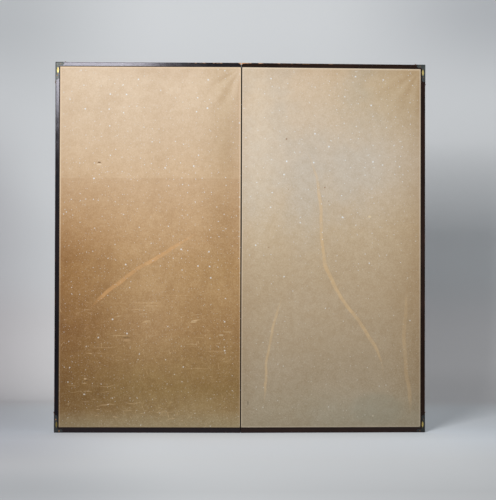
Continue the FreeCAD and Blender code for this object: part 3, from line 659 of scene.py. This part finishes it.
def right_paper():
    """Greyer mica paper with ochre towards the outer edge."""
    material, tree, shader = new_material("right_mica_paper")
    place = panel_place(tree, "right")
    flat = parts_of(tree, place)
    strewn = placed(tree, place, shift=RIGHT_SHIFT)
    waver = times(tree, minus(tree, cloud(tree, place, 2.2, 2), 0.5), 0.16)
    level = reckon(tree, "DIVIDE", plus(tree, flat[UP], waver), SCREEN_HEIGHT)
    # Paler towards the top: partly the paper's own toning, partly a painted sheen of the light from above on
    # the mica
    tone = ramp(tree, level, (
        (0.0, (144, 134, 114)),
        (0.16, (152, 137, 114)),
        (0.36, (169, 150, 123)),
        (0.55, (185, 166, 139)),
        (0.74, (196, 182, 164)),
        (0.96, (202, 182, 157)),
    ), "LINEAR")
    bloom = fade(tree, cloud(tree, place, 2.1, 4, 0.6), 0.44, 0.64)
    bloom = times(tree, bloom, fade(tree, flat[ACROSS], *BLOOM_ACROSS))
    bloom = times(tree, bloom, fade(tree, flat[UP], *RIGHT_BLOOM))
    tone = tint(tree, bloom, tone, colour(182, 176, 166))
    tone = with_fields(tree, flat, tone, RIGHT_FIELDS)

    tone, grain = layered_paper(tree, strewn, tone, fade(tree, flat[UP], *RIGHT_GRAIN))
    tone = stained(tree, place, tone, RIGHT_RIBBONS, colour(212, 176, 124))

    tone = painted_fold_shading(tree, place, flat, tone, "right")
    tone = scattered_specks(tree, strewn, flat[UP], tone, 0.4, 1)
    tone = marked(tree, flat, tone, RIGHT_MARKS)
    rubbed = fade(tree, flat[UP], *RIGHT_RIM)
    tone = paler_rim(tree, place, tone, colour(230, 212, 188), rubbed, fade(tree, flat[UP], *RIGHT_GRIME_AND_SHADE))
    finish_paper(tree, shader, tone, grain)
    return material


# The back is papered in level sheets of twice this height, with a shadow line at each lap
BACK_SHEET_HALF_HEIGHT = 168.5 * MM
LAP_SHADOW = (4 * MM, 2.5 * MM)


def back_paper():
    """Plain muted paper in overlapping sheets, foxed and rubbed."""
    material, tree, shader = new_material("muted_back_paper")
    place = object_place(tree)
    flat = parts_of(tree, place)
    age = cloud(tree, place, 2.4, 5, 0.62)
    tone = ramp(tree, age, (
        (0.3, (112, 98, 78)),
        (0.52, (128, 113, 91)),
        (0.72, (146, 129, 104)),
    ))
    sheet = reckon(tree, "PINGPONG", minus(tree, flat[UP], INNER_BOTTOM), BACK_SHEET_HALF_HEIGHT)
    tone = tint(tree, fade(tree, sheet, *LAP_SHADOW, 0, 0.35), tone, colour(96, 82, 62))
    tone, grain = layered_paper(tree, place, tone, 0.3)
    fox = use(tree, DOTS, place, spacing=0.06, radius=0.006, share=0.3)["Spot"]
    tone = tint(tree, times(tree, fox, 0.4), tone, colour(96, 72, 46))
    tone = scattered_specks(tree, place, flat[UP], tone, 0.3, 0.3)
    finish_paper(tree, shader, tone, grain)
    return material


def plain_paper(name, dark, pale):
    """Pasted paper with long fibres, for the linings and the hinge."""
    material, tree, shader = new_material(name)
    place = object_place(tree)
    tone = ramp(tree, cloud(tree, place, 14, 4), ((0.3, dark), (0.7, pale)))
    tone, grain = layered_paper(tree, place, tone, 0.2)
    finish_paper(tree, shader, tone, grain)
    return material


# Frame, fittings and core

# Deep and warm tone of the lacquer
LACQUER_TONES = {
    "left": ((14, 12, 15), (26, 20, 21)),
    "right": ((25, 13, 8), (37, 22, 16)),
}
# How far the wear pattern is moved, so that the two panels differ
LACQUER_SHIFT = {"left": 0, "right": 1.73}
# Specular level and tint
LACQUER_GLOSS = {"left": (0.145, (0.88, 0.87, 1.0, 1)), "right": (0.15, (1.0, 0.88, 0.8, 1))}

# Where a pale band, part dust and part painted sheen of the light from above, comes up and along the top
# rail, dullness outwards on the stile, and the bottom rail's end
DUST_AND_SHEEN_HEIGHTS = (SCREEN_HEIGHT - 5 * MM, SCREEN_HEIGHT - 2.5 * MM)
DUST_AND_SHEEN_ACROSS = (240 * MM, 500 * MM)
DULL_PLACES = (PANEL_WIDTH - 16.5 * MM, PANEL_WIDTH - 6.5 * MM)
RAIL_HEIGHTS = (BOTTOM_RAIL_FACE + 1 * MM, BOTTOM_RAIL_FACE - 1 * MM)


def lacquer(side):
    """Brown-black lacquer, rubbed brown on the arrises, with bare wood in the worn corners."""
    material, tree, shader = new_material(f"{side}_lacquer")
    place = panel_place(tree, side)
    flat = parts_of(tree, place)
    drift = cloud(tree, place, 6, 4)
    strewn = placed(tree, place, shift=(LACQUER_SHIFT[side], 0, 0))
    deep, warm = LACQUER_TONES[side]
    tone = ramp(tree, drift, ((0.35, deep), (0.68, warm)))
    arris = use(tree, ARRIS, place)
    rubbed = times(tree, arris["Crest"], fade(tree, cloud(tree, strewn, 46, 4), 0.5, 0.64))
    tone = tint(tree, times(tree, rubbed, 0.7), tone, colour(86, 58, 42))
    # Near black along the frame's inner edge: painted shade where the frame meets the paper
    tone = tint(tree, times(tree, arris["Inner"], 0.7), tone, colour(8, 6, 6))
    foot = fade(tree, flat[UP], *RAIL_HEIGHTS, 0, 0.5)
    tone = tint(tree, foot, tone, colour(38, 29, 29))
    # On the left only, the lamp's side: a pale lavender band on the top arris, part dust and part painted
    # sheen
    if side == "left":
        dust_and_sheen = times(tree, fade(tree, flat[ACROSS], *DUST_AND_SHEEN_ACROSS), fade(tree, flat[UP], *DUST_AND_SHEEN_HEIGHTS))
        tone = tint(tree, times(tree, dust_and_sheen, 0.6), tone, colour(176, 174, 184))
    scuff = use(tree, DOTS, strewn, spacing=0.07, radius=0.002, share=0.16)["Spot"]
    tone = tint(tree, times(tree, scuff, 0.4), tone, colour(104, 96, 92))

    bare = bare_wood(tree, strewn, flat, arris["Crest"], side)
    grain = use(tree, WOOD_GRAIN, place)
    timber = ramp(tree, grain["Grain"], ((0.3, (172, 124, 84)), (0.7, (216, 172, 130))))
    tone = tint(tree, bare, tone, timber)
    worn = fade(tree, cloud(tree, place, 30, 5, 0.7), 0.3, 0.75, 0.1, 0.16)
    worn = plus(tree, worn, times(tree, arris["Inner"], 0.8))
    dull = fade(tree, flat[ACROSS], *DULL_PLACES, 0, 0.8)
    worn = plus(tree, worn, times(tree, arris["Crest"], dull))
    worn = reckon(tree, "MAXIMUM", worn, times(tree, bare, 0.7))
    height = plus(tree, cloud(tree, place, 16, 3), times(tree, grain["Pore"], 0.15))
    height = minus(tree, height, times(tree, bare, 0.5))
    finish(tree, shader, tone, worn, height, 0.12, 0.8 * MM)
    level, gloss_tint = LACQUER_GLOSS[side]
    shader.inputs["Specular IOR Level"].default_value = level
    shader.inputs["Specular Tint"].default_value = gloss_tint
    return material


# Length of the rubbed stretch of the top edge, and of the worn corner, outwards from the joint
RUBBED_REACH = {"left": 300 * MM, "right": 470 * MM}
RUBBED_END = 100 * MM
CORNER_REACH = {"left": 12.5 * MM, "right": 24.5 * MM}
# How far the worn corner reaches down, and from where to where it lies behind the frame's face
CORNER_DROP = 12.5 * MM
CORNER_FRONT = 0.15 * MM
CORNER_BACK = 5.1 * MM
# Chips lie in front of this depth, and come in between these heights
CHIP_DEPTH = 4 * MM
CHIP_HEIGHTS = (SCREEN_HEIGHT - 6 * MM, SCREEN_HEIGHT - 3 * MM)


def bare_wood(tree, strewn, flat, crest, side):
    """Where the lacquer is gone: inside the worn corner, and in chips along the top front arris."""
    behind_face = reckon(tree, "GREATER_THAN", flat[DEEP], CORNER_FRONT - FRAME_HALF_DEPTH)
    deep = times(tree, behind_face, reckon(tree, "LESS_THAN", flat[DEEP], CORNER_BACK - FRAME_HALF_DEPTH))
    by_joint = reckon(tree, "LESS_THAN", flat[ACROSS], CORNER_REACH[side])
    corner = times(tree, by_joint, reckon(tree, "GREATER_THAN", flat[UP], SCREEN_HEIGHT - CORNER_DROP))
    corner = times(tree, corner, deep)
    front = reckon(tree, "LESS_THAN", flat[DEEP], -CHIP_DEPTH)
    high = fade(tree, flat[UP], *CHIP_HEIGHTS)
    reach = fade(tree, flat[ACROSS], RUBBED_REACH[side], RUBBED_REACH[side] - RUBBED_END)
    chips = fade(tree, cloud(tree, placed(tree, strewn, (36, 120, 120)), 1, 3, 0.6), 0.54, 0.58)
    chips = times(tree, times(tree, chips, high), times(tree, front, reach))
    return reckon(tree, "MAXIMUM", corner, times(tree, chips, fade(tree, crest, 0.0, 0.5)))


# Heights between which the metal darkens and the gilding dulls on the way down, and its dulling across
METAL_HEIGHTS = (1.1, 0.5)
GILT_HEIGHTS = (0.9, 0.2)
GILT_ACROSS = (-0.5, 0.5, 0.34, 0.12)


def patina():
    """Copper alloy gone dark grey-green, hammered and rubbed."""
    material, tree, shader = new_material("dark_patina")
    place = object_place(tree)
    blotch = cloud(tree, place, 60, 5, 0.65)
    tone = ramp(tree, blotch, (
        (0.3, (32, 36, 35)),
        (0.5, (52, 57, 56)),
        (0.75, (84, 92, 89)),
    ))
    low = fade(tree, parts_of(tree, place)[UP], *METAL_HEIGHTS)
    tone = dimmed(tree, low, tone, colour(150, 153, 155))
    copper = fade(tree, cloud(tree, place, 150, 4, 0.7), 0.62, 0.74, 0, 0.4)
    tone = tint(tree, copper, tone, colour(128, 84, 54))
    feed(tree, shader.inputs["Metallic"], fade(tree, blotch, 0.3, 0.7, 0.35, 0.6))
    cells = add(tree, "TexVoronoi", {"Vector": place, "Scale": 330.0}, feature="SMOOTH_F1")
    height = plus(tree, cells.outputs["Distance"], times(tree, blotch, 0.8))
    finish(tree, shader, tone, fade(tree, blotch, 0.3, 0.75, 0.36, 0.6), height, 0.4, 0.4 * MM)
    return material


def gilding():
    """Pale gilding, worn through to dull olive in places."""
    material, tree, shader = new_material("worn_gilding")
    place = object_place(tree)
    flat = parts_of(tree, place)
    patch = cloud(tree, place, 240, 4, 0.7)
    dull = times(tree, fade(tree, flat[UP], *GILT_HEIGHTS), fade(tree, flat[ACROSS], *GILT_ACROSS))
    tone = ramp(tree, plus(tree, patch, dull), (
        (0.36, (204, 189, 124)),
        (0.56, (170, 151, 88)),
        (0.74, (96, 84, 40)),
    ))
    finish(tree, shader, tone, fade(tree, patch, 0.3, 0.7, 0.42, 0.6), patch, 0.3, 0.2 * MM)
    shader.inputs["Metallic"].default_value = 0.5
    shader.inputs["Specular IOR Level"].default_value = 0.3
    return material


def nail_metal():
    """Copper-brown brass with bright rubbed heads."""
    material, tree, shader = new_material("nail_metal")
    place = object_place(tree)
    patch = cloud(tree, place, 420, 3)
    tone = ramp(tree, patch, ((0.35, (96, 60, 36)), (0.65, (188, 126, 74))))
    finish(tree, shader, tone, fade(tree, patch, 0.3, 0.7, 0.5, 0.28))
    shader.inputs["Metallic"].default_value = 0.85
    return material


def wood(name, dark, pale, upright):
    """Bare planed wood whose grain runs up or across."""
    material, tree, shader = new_material(name)
    turn = (0, math.radians(90), 0) if upright else (0, 0, 0)
    place = placed(tree, object_place(tree), (1, 1, 1), turn)
    grain = use(tree, WOOD_GRAIN, place)
    tone = ramp(tree, grain["Grain"], ((0.3, dark), (0.68, pale)))
    tone = dimmed(tree, fade(tree, grain["Pore"], 0.6, 0.72, 0, 0.35), tone, colour(*dark))
    roughness = fade(tree, grain["Grain"], 0.3, 0.7, 0.55, 0.72)
    finish(tree, shader, tone, roughness, grain["Pore"], 0.3, 0.4 * MM)
    return material


# Cockled paper sheets

def smooth_share(value, start, end):
    """Runs smoothly from 0 at start to 1 at end."""
    share = min(max((value - start) / (end - start), 0), 1)
    return share * share * (3 - 2 * share)


# Waves of the front papers: length across and up, the noise's seed, and depth in millimetres
COCKLES = ((0.17, 0.24, 10, 0.22), (0.055, 0.09, 15, 0.07))
MEAN_LIFT = 0.34
MOST_LIFT = 0.78
# The papers lie flat for this far from their edges
FLAT_RIM = 30 * MM
# Depth in millimetres of the folds pulled from the top corners
FOLD_DEPTH = 0.42
# Where the folds come in and die away, outwards from the corner, and how wide they spread
FOLD_START = (15 * MM, 70 * MM)
FOLD_END = (340 * MM, 100 * MM)
FOLD_SPREAD = (0.7, 0.35)
# A dent in the left paper: across and height, half width and half height, and depth in millimetres
DENT = (0.532, 0.438, 0.02, 0.012, 0.45)


def cockle(side, x, z, near_edge):
    """How far the paper stands off its flat place, zero at the edges."""
    free = smooth_share(near_edge, 0, FLAT_RIM)
    lift = MEAN_LIFT
    for wide, high, seed, depth in COCKLES:
        lift += depth * noise.noise(Vector((x / wide, z / high, seed + SIDES[side])))
    corner_x, corner_z, middle = TENSION[side]
    distance = math.hypot(x - corner_x, z - corner_z)
    angle = math.atan2(z - corner_z, x - corner_x) - middle
    reach = smooth_share(distance, *FOLD_START) * smooth_share(distance, *FOLD_END)
    lift += FOLD_DEPTH * math.sin(angle * FOLD_COUNT) * reach * smooth_share(abs(angle), *FOLD_SPREAD)
    if side == "left":
        dent_x, dent_z, wide, high, depth = DENT
        dent = math.hypot((x - dent_x) / wide, (z - dent_z) / high)
        lift -= depth * smooth_share(dent, 1.4, 0.2)
    return free * min(max(lift, 0), MOST_LIFT) * MM


def turned(bm, side):
    """Set a flat panel's mesh in its place on the standing screen."""
    sign = SIDES[side]
    matrix = Matrix.Translation((0, BACK_LINE[1], 0)) @ Matrix.Rotation(sign * PANEL_TURN, 4, "Z")
    matrix = matrix @ Matrix.Translation((0, -FOLD_OFFSET, 0)) @ Matrix.Diagonal((sign, 1, 1, 1))
    bmesh.ops.transform(bm, matrix=matrix, verts=bm.verts)


def made_object(name, bm, material):
    """A finished mesh as a smooth piece of one material."""
    for face in bm.faces:
        face.smooth = True
    mesh = bpy.data.meshes.new(name)
    bm.to_mesh(mesh)
    bm.free()
    mesh.materials.append(material)
    made = bpy.data.objects.new(name, mesh)
    bpy.context.scene.collection.objects.link(made)
    return made


def drawn_on(bm, rim, move):
    """Extrude a row of edges by a move, and give the new edges."""
    made = bmesh.ops.extrude_edge_only(bm, edges=rim)["geom"]
    bmesh.ops.translate(bm, vec=move, verts=[item for item in made if isinstance(item, bmesh.types.BMVert)])
    return edges_in(made)


def rolled(bm, geometry, centre, axis, degrees, steps):
    """Spin a row of edges round an axis, and give the last row."""
    made = bmesh.ops.spin(bm, geom=geometry, cent=centre, axis=axis, angle=math.radians(degrees),
                          steps=steps, use_merge=False, use_duplicate=False)
    return edges_in(made["geom_last"])


def edges_in(geometry):
    return [item for item in geometry if isinstance(item, bmesh.types.BMEdge)]


SHEET_COLUMNS = 124
SHEET_ROWS = 244
PAPERED_HEIGHT = INNER_TOP - INNER_BOTTOM


def sheet_grid(start, face):
    """A flat grid over the papered field, at a given depth."""
    bm = bmesh.new()
    bmesh.ops.create_grid(bm, x_segments=SHEET_COLUMNS, y_segments=SHEET_ROWS, size=0.5)
    for vert in bm.verts:
        across, up = vert.co.x + 0.5, vert.co.y + 0.5
        vert.co = (start + across * (INNER_SIDE - start), face, INNER_BOTTOM + up * PAPERED_HEIGHT)
    return bm


def edge_gap(place, start):
    """Distance from a place to the nearest edge of the papered field."""
    return min(place.x - start, INNER_SIDE - place.x, place.z - INNER_BOTTOM, INNER_TOP - place.z)


def face_outwards(bm, direction):
    """Turn all faces so that the first one looks along a direction."""
    bmesh.ops.recalc_face_normals(bm, faces=bm.faces)
    bm.faces.ensure_lookup_table()
    if bm.faces[0].normal.dot(direction) < 0:
        bmesh.ops.reverse_faces(bm, faces=bm.faces)


def thickened(piece, thickness):
    """Give a sheet its thickness, inwards from its face."""
    wall = piece.modifiers.new("paper_thickness", "SOLIDIFY")
    wall.thickness = thickness
    wall.offset = -1


# Drawn a little thinner than the solid, so that it never touches the lining
DRAWN_SHARE = 0.95


def mounted(bm, side, name, way, material):
    """A paper set on its panel in place of the flat solid, with its face looking one way."""
    turned(bm, side)
    face_outwards(bm, Vector((0, way, 0)))
    piece = made_object(f"{side}_{name}_sheet", bm, material)
    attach(piece, f"{side}_panel")
    thickened(piece, SHEET_THICKNESS * DRAWN_SHARE)
    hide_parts(f"{side}_{name}_face_paper")


# The upper sheet laps over the lower one by a step, which slopes over a height and dies away at the sides
SEAM_STEP = 0.12 * MM
SEAM_SLOPE = 0.9 * MM
SEAM_END = 20 * MM
# The paper that turns round the joint edge has rows of points this far from its middle
TURN_ROW = 2.6 * MM
# Places closer than this are one place
HAIR = 0.1 * MM


def front_sheet(side, material):
    """The mounted front paper, cockled, and wrapped round the joint edge."""
    start = JOINT_EDGE + SHEET_ROUND
    bm = sheet_grid(start, -PAPER_FACE)
    if side in SHEET_SEAM:
        for height in (SHEET_SEAM[side], SHEET_SEAM[side] - SEAM_SLOPE):
            bmesh.ops.bisect_plane(bm, geom=bm.verts[:] + bm.edges[:] + bm.faces[:],
                                   plane_co=(0, 0, height), plane_no=(0, 0, 1))
    for vert in bm.verts:
        lift = cockle(side, vert.co.x, vert.co.z, edge_gap(vert.co, start))
        if vert.co.z > SHEET_SEAM.get(side, SCREEN_HEIGHT) - HAIR:
            lift += SEAM_STEP * smooth_share(min(vert.co.x - start, INNER_SIDE - vert.co.x), 0, SEAM_END)
        vert.co.y -= lift
    rim = [edge for edge in bm.edges if all(abs(vert.co.x - start) < HAIR for vert in edge.verts)]
    depth = SHEET_ROUND - PAPER_FACE
    rim = rolled(bm, rim, (start, depth, 0), (0, 0, 1), -90, 5)
    for stop in (-TURN_ROW, TURN_ROW, BASE_FACE):
        rim = drawn_on(bm, rim, (0, stop - depth, 0))
        depth = stop
    mounted(bm, side, "front", -1, material)


# Waves of the back papers: length across and up, the noise's seed, and depth in millimetres
BACK_COCKLE = (0.2, 0.15, 30, 0.2)
BACK_FLAT_RIM = 40 * MM


def back_sheet(side, material):
    """The plain back paper, cockled a little."""
    bm = sheet_grid(JOINT_EDGE, PAPER_FACE)
    wide, high, seed, depth = BACK_COCKLE
    for vert in bm.verts:
        free = smooth_share(edge_gap(vert.co, JOINT_EDGE), 0, BACK_FLAT_RIM)
        lift = depth * noise.noise(Vector((vert.co.x / wide, vert.co.z / high, seed + SIDES[side])))
        vert.co.y += free * lift * MM
    mounted(bm, side, "back", 1, material)


# Paper hinge leaves, counted from the bottom, and the bends between them and the panels
LEAF_COUNT = 6
END_LEAF_SHARE = 0.52
LEAF_SPACING = 2 * MM
LEAF_PITCH = PAPERED_HEIGHT / (LEAF_COUNT - 2 + 2 * END_LEAF_SHARE)
BEND_THICKNESS = 0.3 * MM
# How far the bends lie under the face of the paper
BEND_DEPTH = 0.25 * MM

# Name, panel, group of leaves, first leaf, way to the face (front is -1) and radius
BENDS = (
    ("forward_front_bends", "left", "forward_leaves", 0, -1, 1.3 * MM),
    ("forward_back_bends", "right", "forward_leaves", 0, 1, 1 * MM),
    ("backward_back_bends", "left", "backward_leaves", 1, 1, 1 * MM),
    ("backward_front_bends", "right", None, 1, -1, 1.3 * MM),
)

# The end bends run on between the rails, to just short of the floor and of the worn corners
BEND_FOOT = 3 * MM
BEND_HEAD = SCREEN_HEIGHT - 9 * MM


def bend_span(index):
    """Lowest and highest place of one bend, which is as long as its leaf except at the ends."""
    low = INNER_BOTTOM + (index - 1 + END_LEAF_SHARE) * LEAF_PITCH + LEAF_SPACING / 2
    high = INNER_BOTTOM + (index + END_LEAF_SHARE) * LEAF_PITCH - LEAF_SPACING / 2
    return BEND_FOOT if index == 0 else low, BEND_HEAD if index == LEAF_COUNT - 1 else high


def make_bends(material):
    """Bent paper from the panels' edges to the leaves, which goes with its panel, or where it meets a group
    of leaves stays where it is made.
    """
    for name, side, leaves, first, way, radius in BENDS:
        bm = bmesh.new()
        depth = way * (PAPER_FACE - BEND_DEPTH - radius)
        centre = (JOINT_EDGE - radius, depth, 0)
        for index in range(first, LEAF_COUNT, 2):
            ends = [bm.verts.new((JOINT_EDGE, depth, height)) for height in bend_span(index)]
            rolled(bm, [*ends, bm.edges.new(ends)], centre, (0, 0, 1), way * 90, 5)
        turned(bm, side)
        face_outwards(bm, Vector((0, way, 0)))
        piece = made_object(name, bm, material)
        thickened(piece, BEND_THICKNESS)
        if leaves:
            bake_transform(piece)
        else:
            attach(piece, f"{side}_panel")


def dress(node, material):
    """Give a solid its finish."""
    mesh = frame["nodes"][node].data
    mesh.materials.clear()
    mesh.materials.append(material)


def dress_solids():
    cedar_up = wood("cedar_upright", (172, 132, 92), (212, 178, 138), True)
    cedar_level = wood("cedar_level", (172, 132, 92), (212, 178, 138), False)
    bamboo = wood("split_bamboo", (168, 142, 84), (208, 186, 126), True)
    lining = plain_paper("lining_sheets", (200, 184, 154), (226, 214, 188))
    # Hinge paper near black: partly its own tone, partly painted shade of the narrow gap between the panels
    hinge = plain_paper("hinge_sheets", (26, 20, 13), (46, 36, 25))
    metal = patina()
    gilt = gilding()
    brass = nail_metal()
    for side in SIDES:
        black = lacquer(side)
        finishes = {
            "core_outer_stile": cedar_up, "core_hinge_stile": cedar_up, "core_uprights": cedar_up,
            "core_top_rail": cedar_level, "core_bottom_rail": cedar_level, "core_crossbars": cedar_level,
            "front_base_paper": lining, "back_base_paper": lining,
            "front_hinge_tabs": hinge, "back_hinge_tabs": hinge,
            "frame_top_rail": black, "frame_bottom_rail": black, "frame_stile": black,
            "frame_pegs": bamboo,
            "top_corner_fitting": metal, "bottom_corner_fitting": metal,
            "top_gilt_inlay": gilt, "bottom_gilt_inlay": gilt,
            "fitting_nails": brass,
        }
        for node, material in finishes.items():
            dress(f"{side}_{node}", material)
    for node in ("forward_hinge_leaves", "backward_hinge_leaves"):
        dress(node, hinge)
    make_bends(hinge)


# Studio

SKY_TONE = (198, 201, 204)
# The backdrop's tones run from this far in front of the screen, over this length towards the wall
TONE_FRONT = 4.0
TONE_RUN = 6.5

# Fields of another tone on the backdrop, given as those of the papers are: painted light high on the wall, a
# warmer tint low on the wall, and painted shade in the upper corners and on the floor in front to the left
STAGE_FIELDS = (
    ((240, 243, 246), "MIX", 1, (UP, 1.5, 2.4)),
    ((254, 250, 249), "MULTIPLY", 1, (UP, 0.8, 0.4), (DEEP, 1.4, 2.1)),
    ((219, 220, 222), "MULTIPLY", 1, (ACROSS, 0.5, 1.7), (UP, 1.75, 2.4)),
    ((221, 222, 223), "MULTIPLY", 1, (ACROSS, -0.35, -1.45), (UP, 1.55, 2.3)),
    ((237, 238, 239), "MULTIPLY", 1, (ACROSS, 0.0, -0.95), (DEEP, -1.3, -2.1)),
)
# The painted shadow left of the screen lies between lines from a point in front: its place and the last
# slope
LEFT_SHADE_START = 0.1
LEFT_SHADE_SLOPE = 0.165
# Its first slope grows towards the wall and upwards, and its strength fades upwards and towards the viewer
LEFT_SLOPE_BY_DEPTH = (0, 2, 0.06, 0.09)
LEFT_SLOPE_BY_HEIGHT = (0.9, 1.4, 0, 0.02)
LEFT_SHADE_HEIGHTS = (2.0, 1.15)
LEFT_SHADE_DEPTHS = (-2.4, -0.4, 0.45, 1)
# The painted shade right of the screen, deepening the lamp's shadow: across, and between heights on the wall
# and near the floor
RIGHT_SHADE_ACROSS = (0.75, 1.3)
RIGHT_SHADE_FOOT = (0.4, 0.7)
RIGHT_SHADE_HEAD = (1.7, 1.3)
RIGHT_SHADE_FLOOR = (0.2, 0.05)


def stage_material(name, see_through):
    """Matt pale grey with painted light and shade: darker near the viewer and at the sides, with painted
    shadows beside the screen, and if asked clear from behind.
    """
    material, tree, shader = new_material(name)
    place = parts_of(tree, object_place(tree))
    drift = cloud(tree, object_place(tree), 1.3, 3)
    run = plus(tree, place[DEEP], times(tree, drift, 0.06))
    run = reckon(tree, "DIVIDE", plus(tree, run, TONE_FRONT), TONE_RUN)
    # Painted light and shade along the stage: darker near the viewer, palest just in front of the screen
    tone = ramp(tree, run, (
        (0.0, (156, 159, 162)),
        (0.28, (175, 178, 181)),
        (0.43, (205, 209, 213)),
        (0.56, (227, 234, 242)),
        (0.92, (222, 225, 228)),
        (1.0, (229, 232, 235)),
    ), "LINEAR")
    tone = with_fields(tree, place, tone, STAGE_FIELDS)
    # Painted shade right of the screen that deepens the lamp's shadow
    middle = times(tree, fade(tree, place[UP], *RIGHT_SHADE_FOOT), fade(tree, place[UP], *RIGHT_SHADE_HEAD))
    painted_right_shade = reckon(tree, "MAXIMUM", middle, fade(tree, place[UP], *RIGHT_SHADE_FLOOR))
    painted_right_shade = times(tree, painted_right_shade, fade(tree, place[ACROSS], *RIGHT_SHADE_ACROSS))
    tone = dimmed(tree, painted_right_shade, tone, colour(244, 244, 244))
    depth = plus(tree, place[DEEP], CAMERA_DISTANCE)
    # A painted shadow left of the screen, fanning out from a point in front
    spread = reckon(tree, "DIVIDE", minus(tree, LEFT_SHADE_START, place[ACROSS]), depth)
    start = fade(tree, place[DEEP], *LEFT_SLOPE_BY_DEPTH)
    start = plus(tree, start, fade(tree, place[UP], *LEFT_SLOPE_BY_HEIGHT))
    left = reckon(tree, "DIVIDE", minus(tree, spread, start), minus(tree, LEFT_SHADE_SLOPE, start))
    left = times(tree, fade(tree, left, 0, 1), fade(tree, place[UP], *LEFT_SHADE_HEIGHTS))
    left = times(tree, left, fade(tree, place[DEEP], *LEFT_SHADE_DEPTHS))
    tone = dimmed(tree, left, tone, colour(214, 212, 214))
    finish(tree, shader, tone, 0.9)
    shader.inputs["Specular IOR Level"].default_value = 0.1
    if see_through:
        behind = add(tree, "NewGeometry").outputs["Backfacing"]
        clear = add(tree, "BsdfTransparent").outputs[0]
        mixed = add(tree, "MixShader", {0: behind, 1: shader.outputs[0], 2: clear})
        feed(tree, node_of(tree, "OUTPUT_MATERIAL").inputs["Surface"], mixed.outputs[0])
    return material


STAGE_FRONT = 9.0
WALL_DISTANCE = 2.5
COVE_RADIUS = 0.5
WALL_HEIGHT = 3.6
STAGE_HALF_WIDTH = 5.0
GROUND_HALF_WIDTH = 15.0
GROUND_DROP = 2 * MM


def make_stage():
    """A seamless backdrop that curves down into the floor, and the ground round it."""
    bm = bmesh.new()
    cove = WALL_DISTANCE - COVE_RADIUS
    ends = [bm.verts.new((x, -STAGE_FRONT, 0)) for x in (-STAGE_HALF_WIDTH, STAGE_HALF_WIDTH)]
    rim = drawn_on(bm, [bm.edges.new(ends)], (0, STAGE_FRONT + cove, 0))
    rim = rolled(bm, rim, (0, cove, COVE_RADIUS), (1, 0, 0), 90, 16)
    drawn_on(bm, rim, (0, 0, WALL_HEIGHT))
    face_outwards(bm, Vector((0, 0, 1)))
    made_object("backdrop", bm, stage_material("backdrop_grey", True))
    bm = bmesh.new()
    bmesh.ops.create_grid(bm, x_segments=1, y_segments=1, size=GROUND_HALF_WIDTH)
    bmesh.ops.translate(bm, vec=(0, 0, -GROUND_DROP), verts=bm.verts)
    made_object("ground", bm, stage_material("ground_grey", False))


def softbox(name, place, aim, size, watts, shade):
    data = bpy.data.lights.new(name, "AREA")
    data.shape = "SQUARE"
    data.size = size
    data.energy = watts
    data.color = shade
    lamp = bpy.data.objects.new(name, data)
    bpy.context.scene.collection.objects.link(lamp)
    lamp.location = place
    lamp.rotation_euler = (Vector(aim) - Vector(place)).to_track_quat("-Z", "Y").to_euler()
    lamp.visible_camera = False


KEY_PLACE = (-1.4, -5.36, 2.67)
KEY_AIM = (0, 0, 0.9)
KEY_SIZE = 1.25
KEY_WATTS = 266
KEY_TONE = (1.0, 0.985, 0.97)
ROOM_TONE = (0.97, 0.99, 1.0, 1)
ROOM_STRENGTH = 0.4


def make_light():
    """One large lamp in front, soft light from the room, and a plain sky where the room is seen."""
    softbox("key_softbox", KEY_PLACE, KEY_AIM, KEY_SIZE, KEY_WATTS, KEY_TONE)
    world = bpy.data.worlds.new("studio")
    bpy.context.scene.world = world
    world.use_nodes = True
    tree = world.node_tree
    light = node_of(tree, "BACKGROUND")
    light.inputs[0].default_value = ROOM_TONE
    light.inputs[1].default_value = ROOM_STRENGTH
    seen = add(tree, "Background", {0: colour(*SKY_TONE), 1: 1.0}).outputs[0]
    path = add(tree, "LightPath").outputs
    direct = reckon(tree, "MAXIMUM", path["Is Camera Ray"], path["Is Glossy Ray"])
    direct = reckon(tree, "MAXIMUM", direct, path["Is Transmission Ray"])
    mixed = add(tree, "MixShader", {0: direct, 1: light.outputs[0], 2: seen})
    feed(tree, node_of(tree, "OUTPUT_WORLD").inputs["Surface"], mixed.outputs[0])


make_camera()
muted = back_paper()
front_papers = {"left": left_paper(), "right": right_paper()}
for panel_side, front_paper in front_papers.items():
    front_sheet(panel_side, front_paper)
    back_sheet(panel_side, muted)
dress_solids()
make_stage()
make_light()
bpy.context.scene.view_settings.view_transform = "Standard"
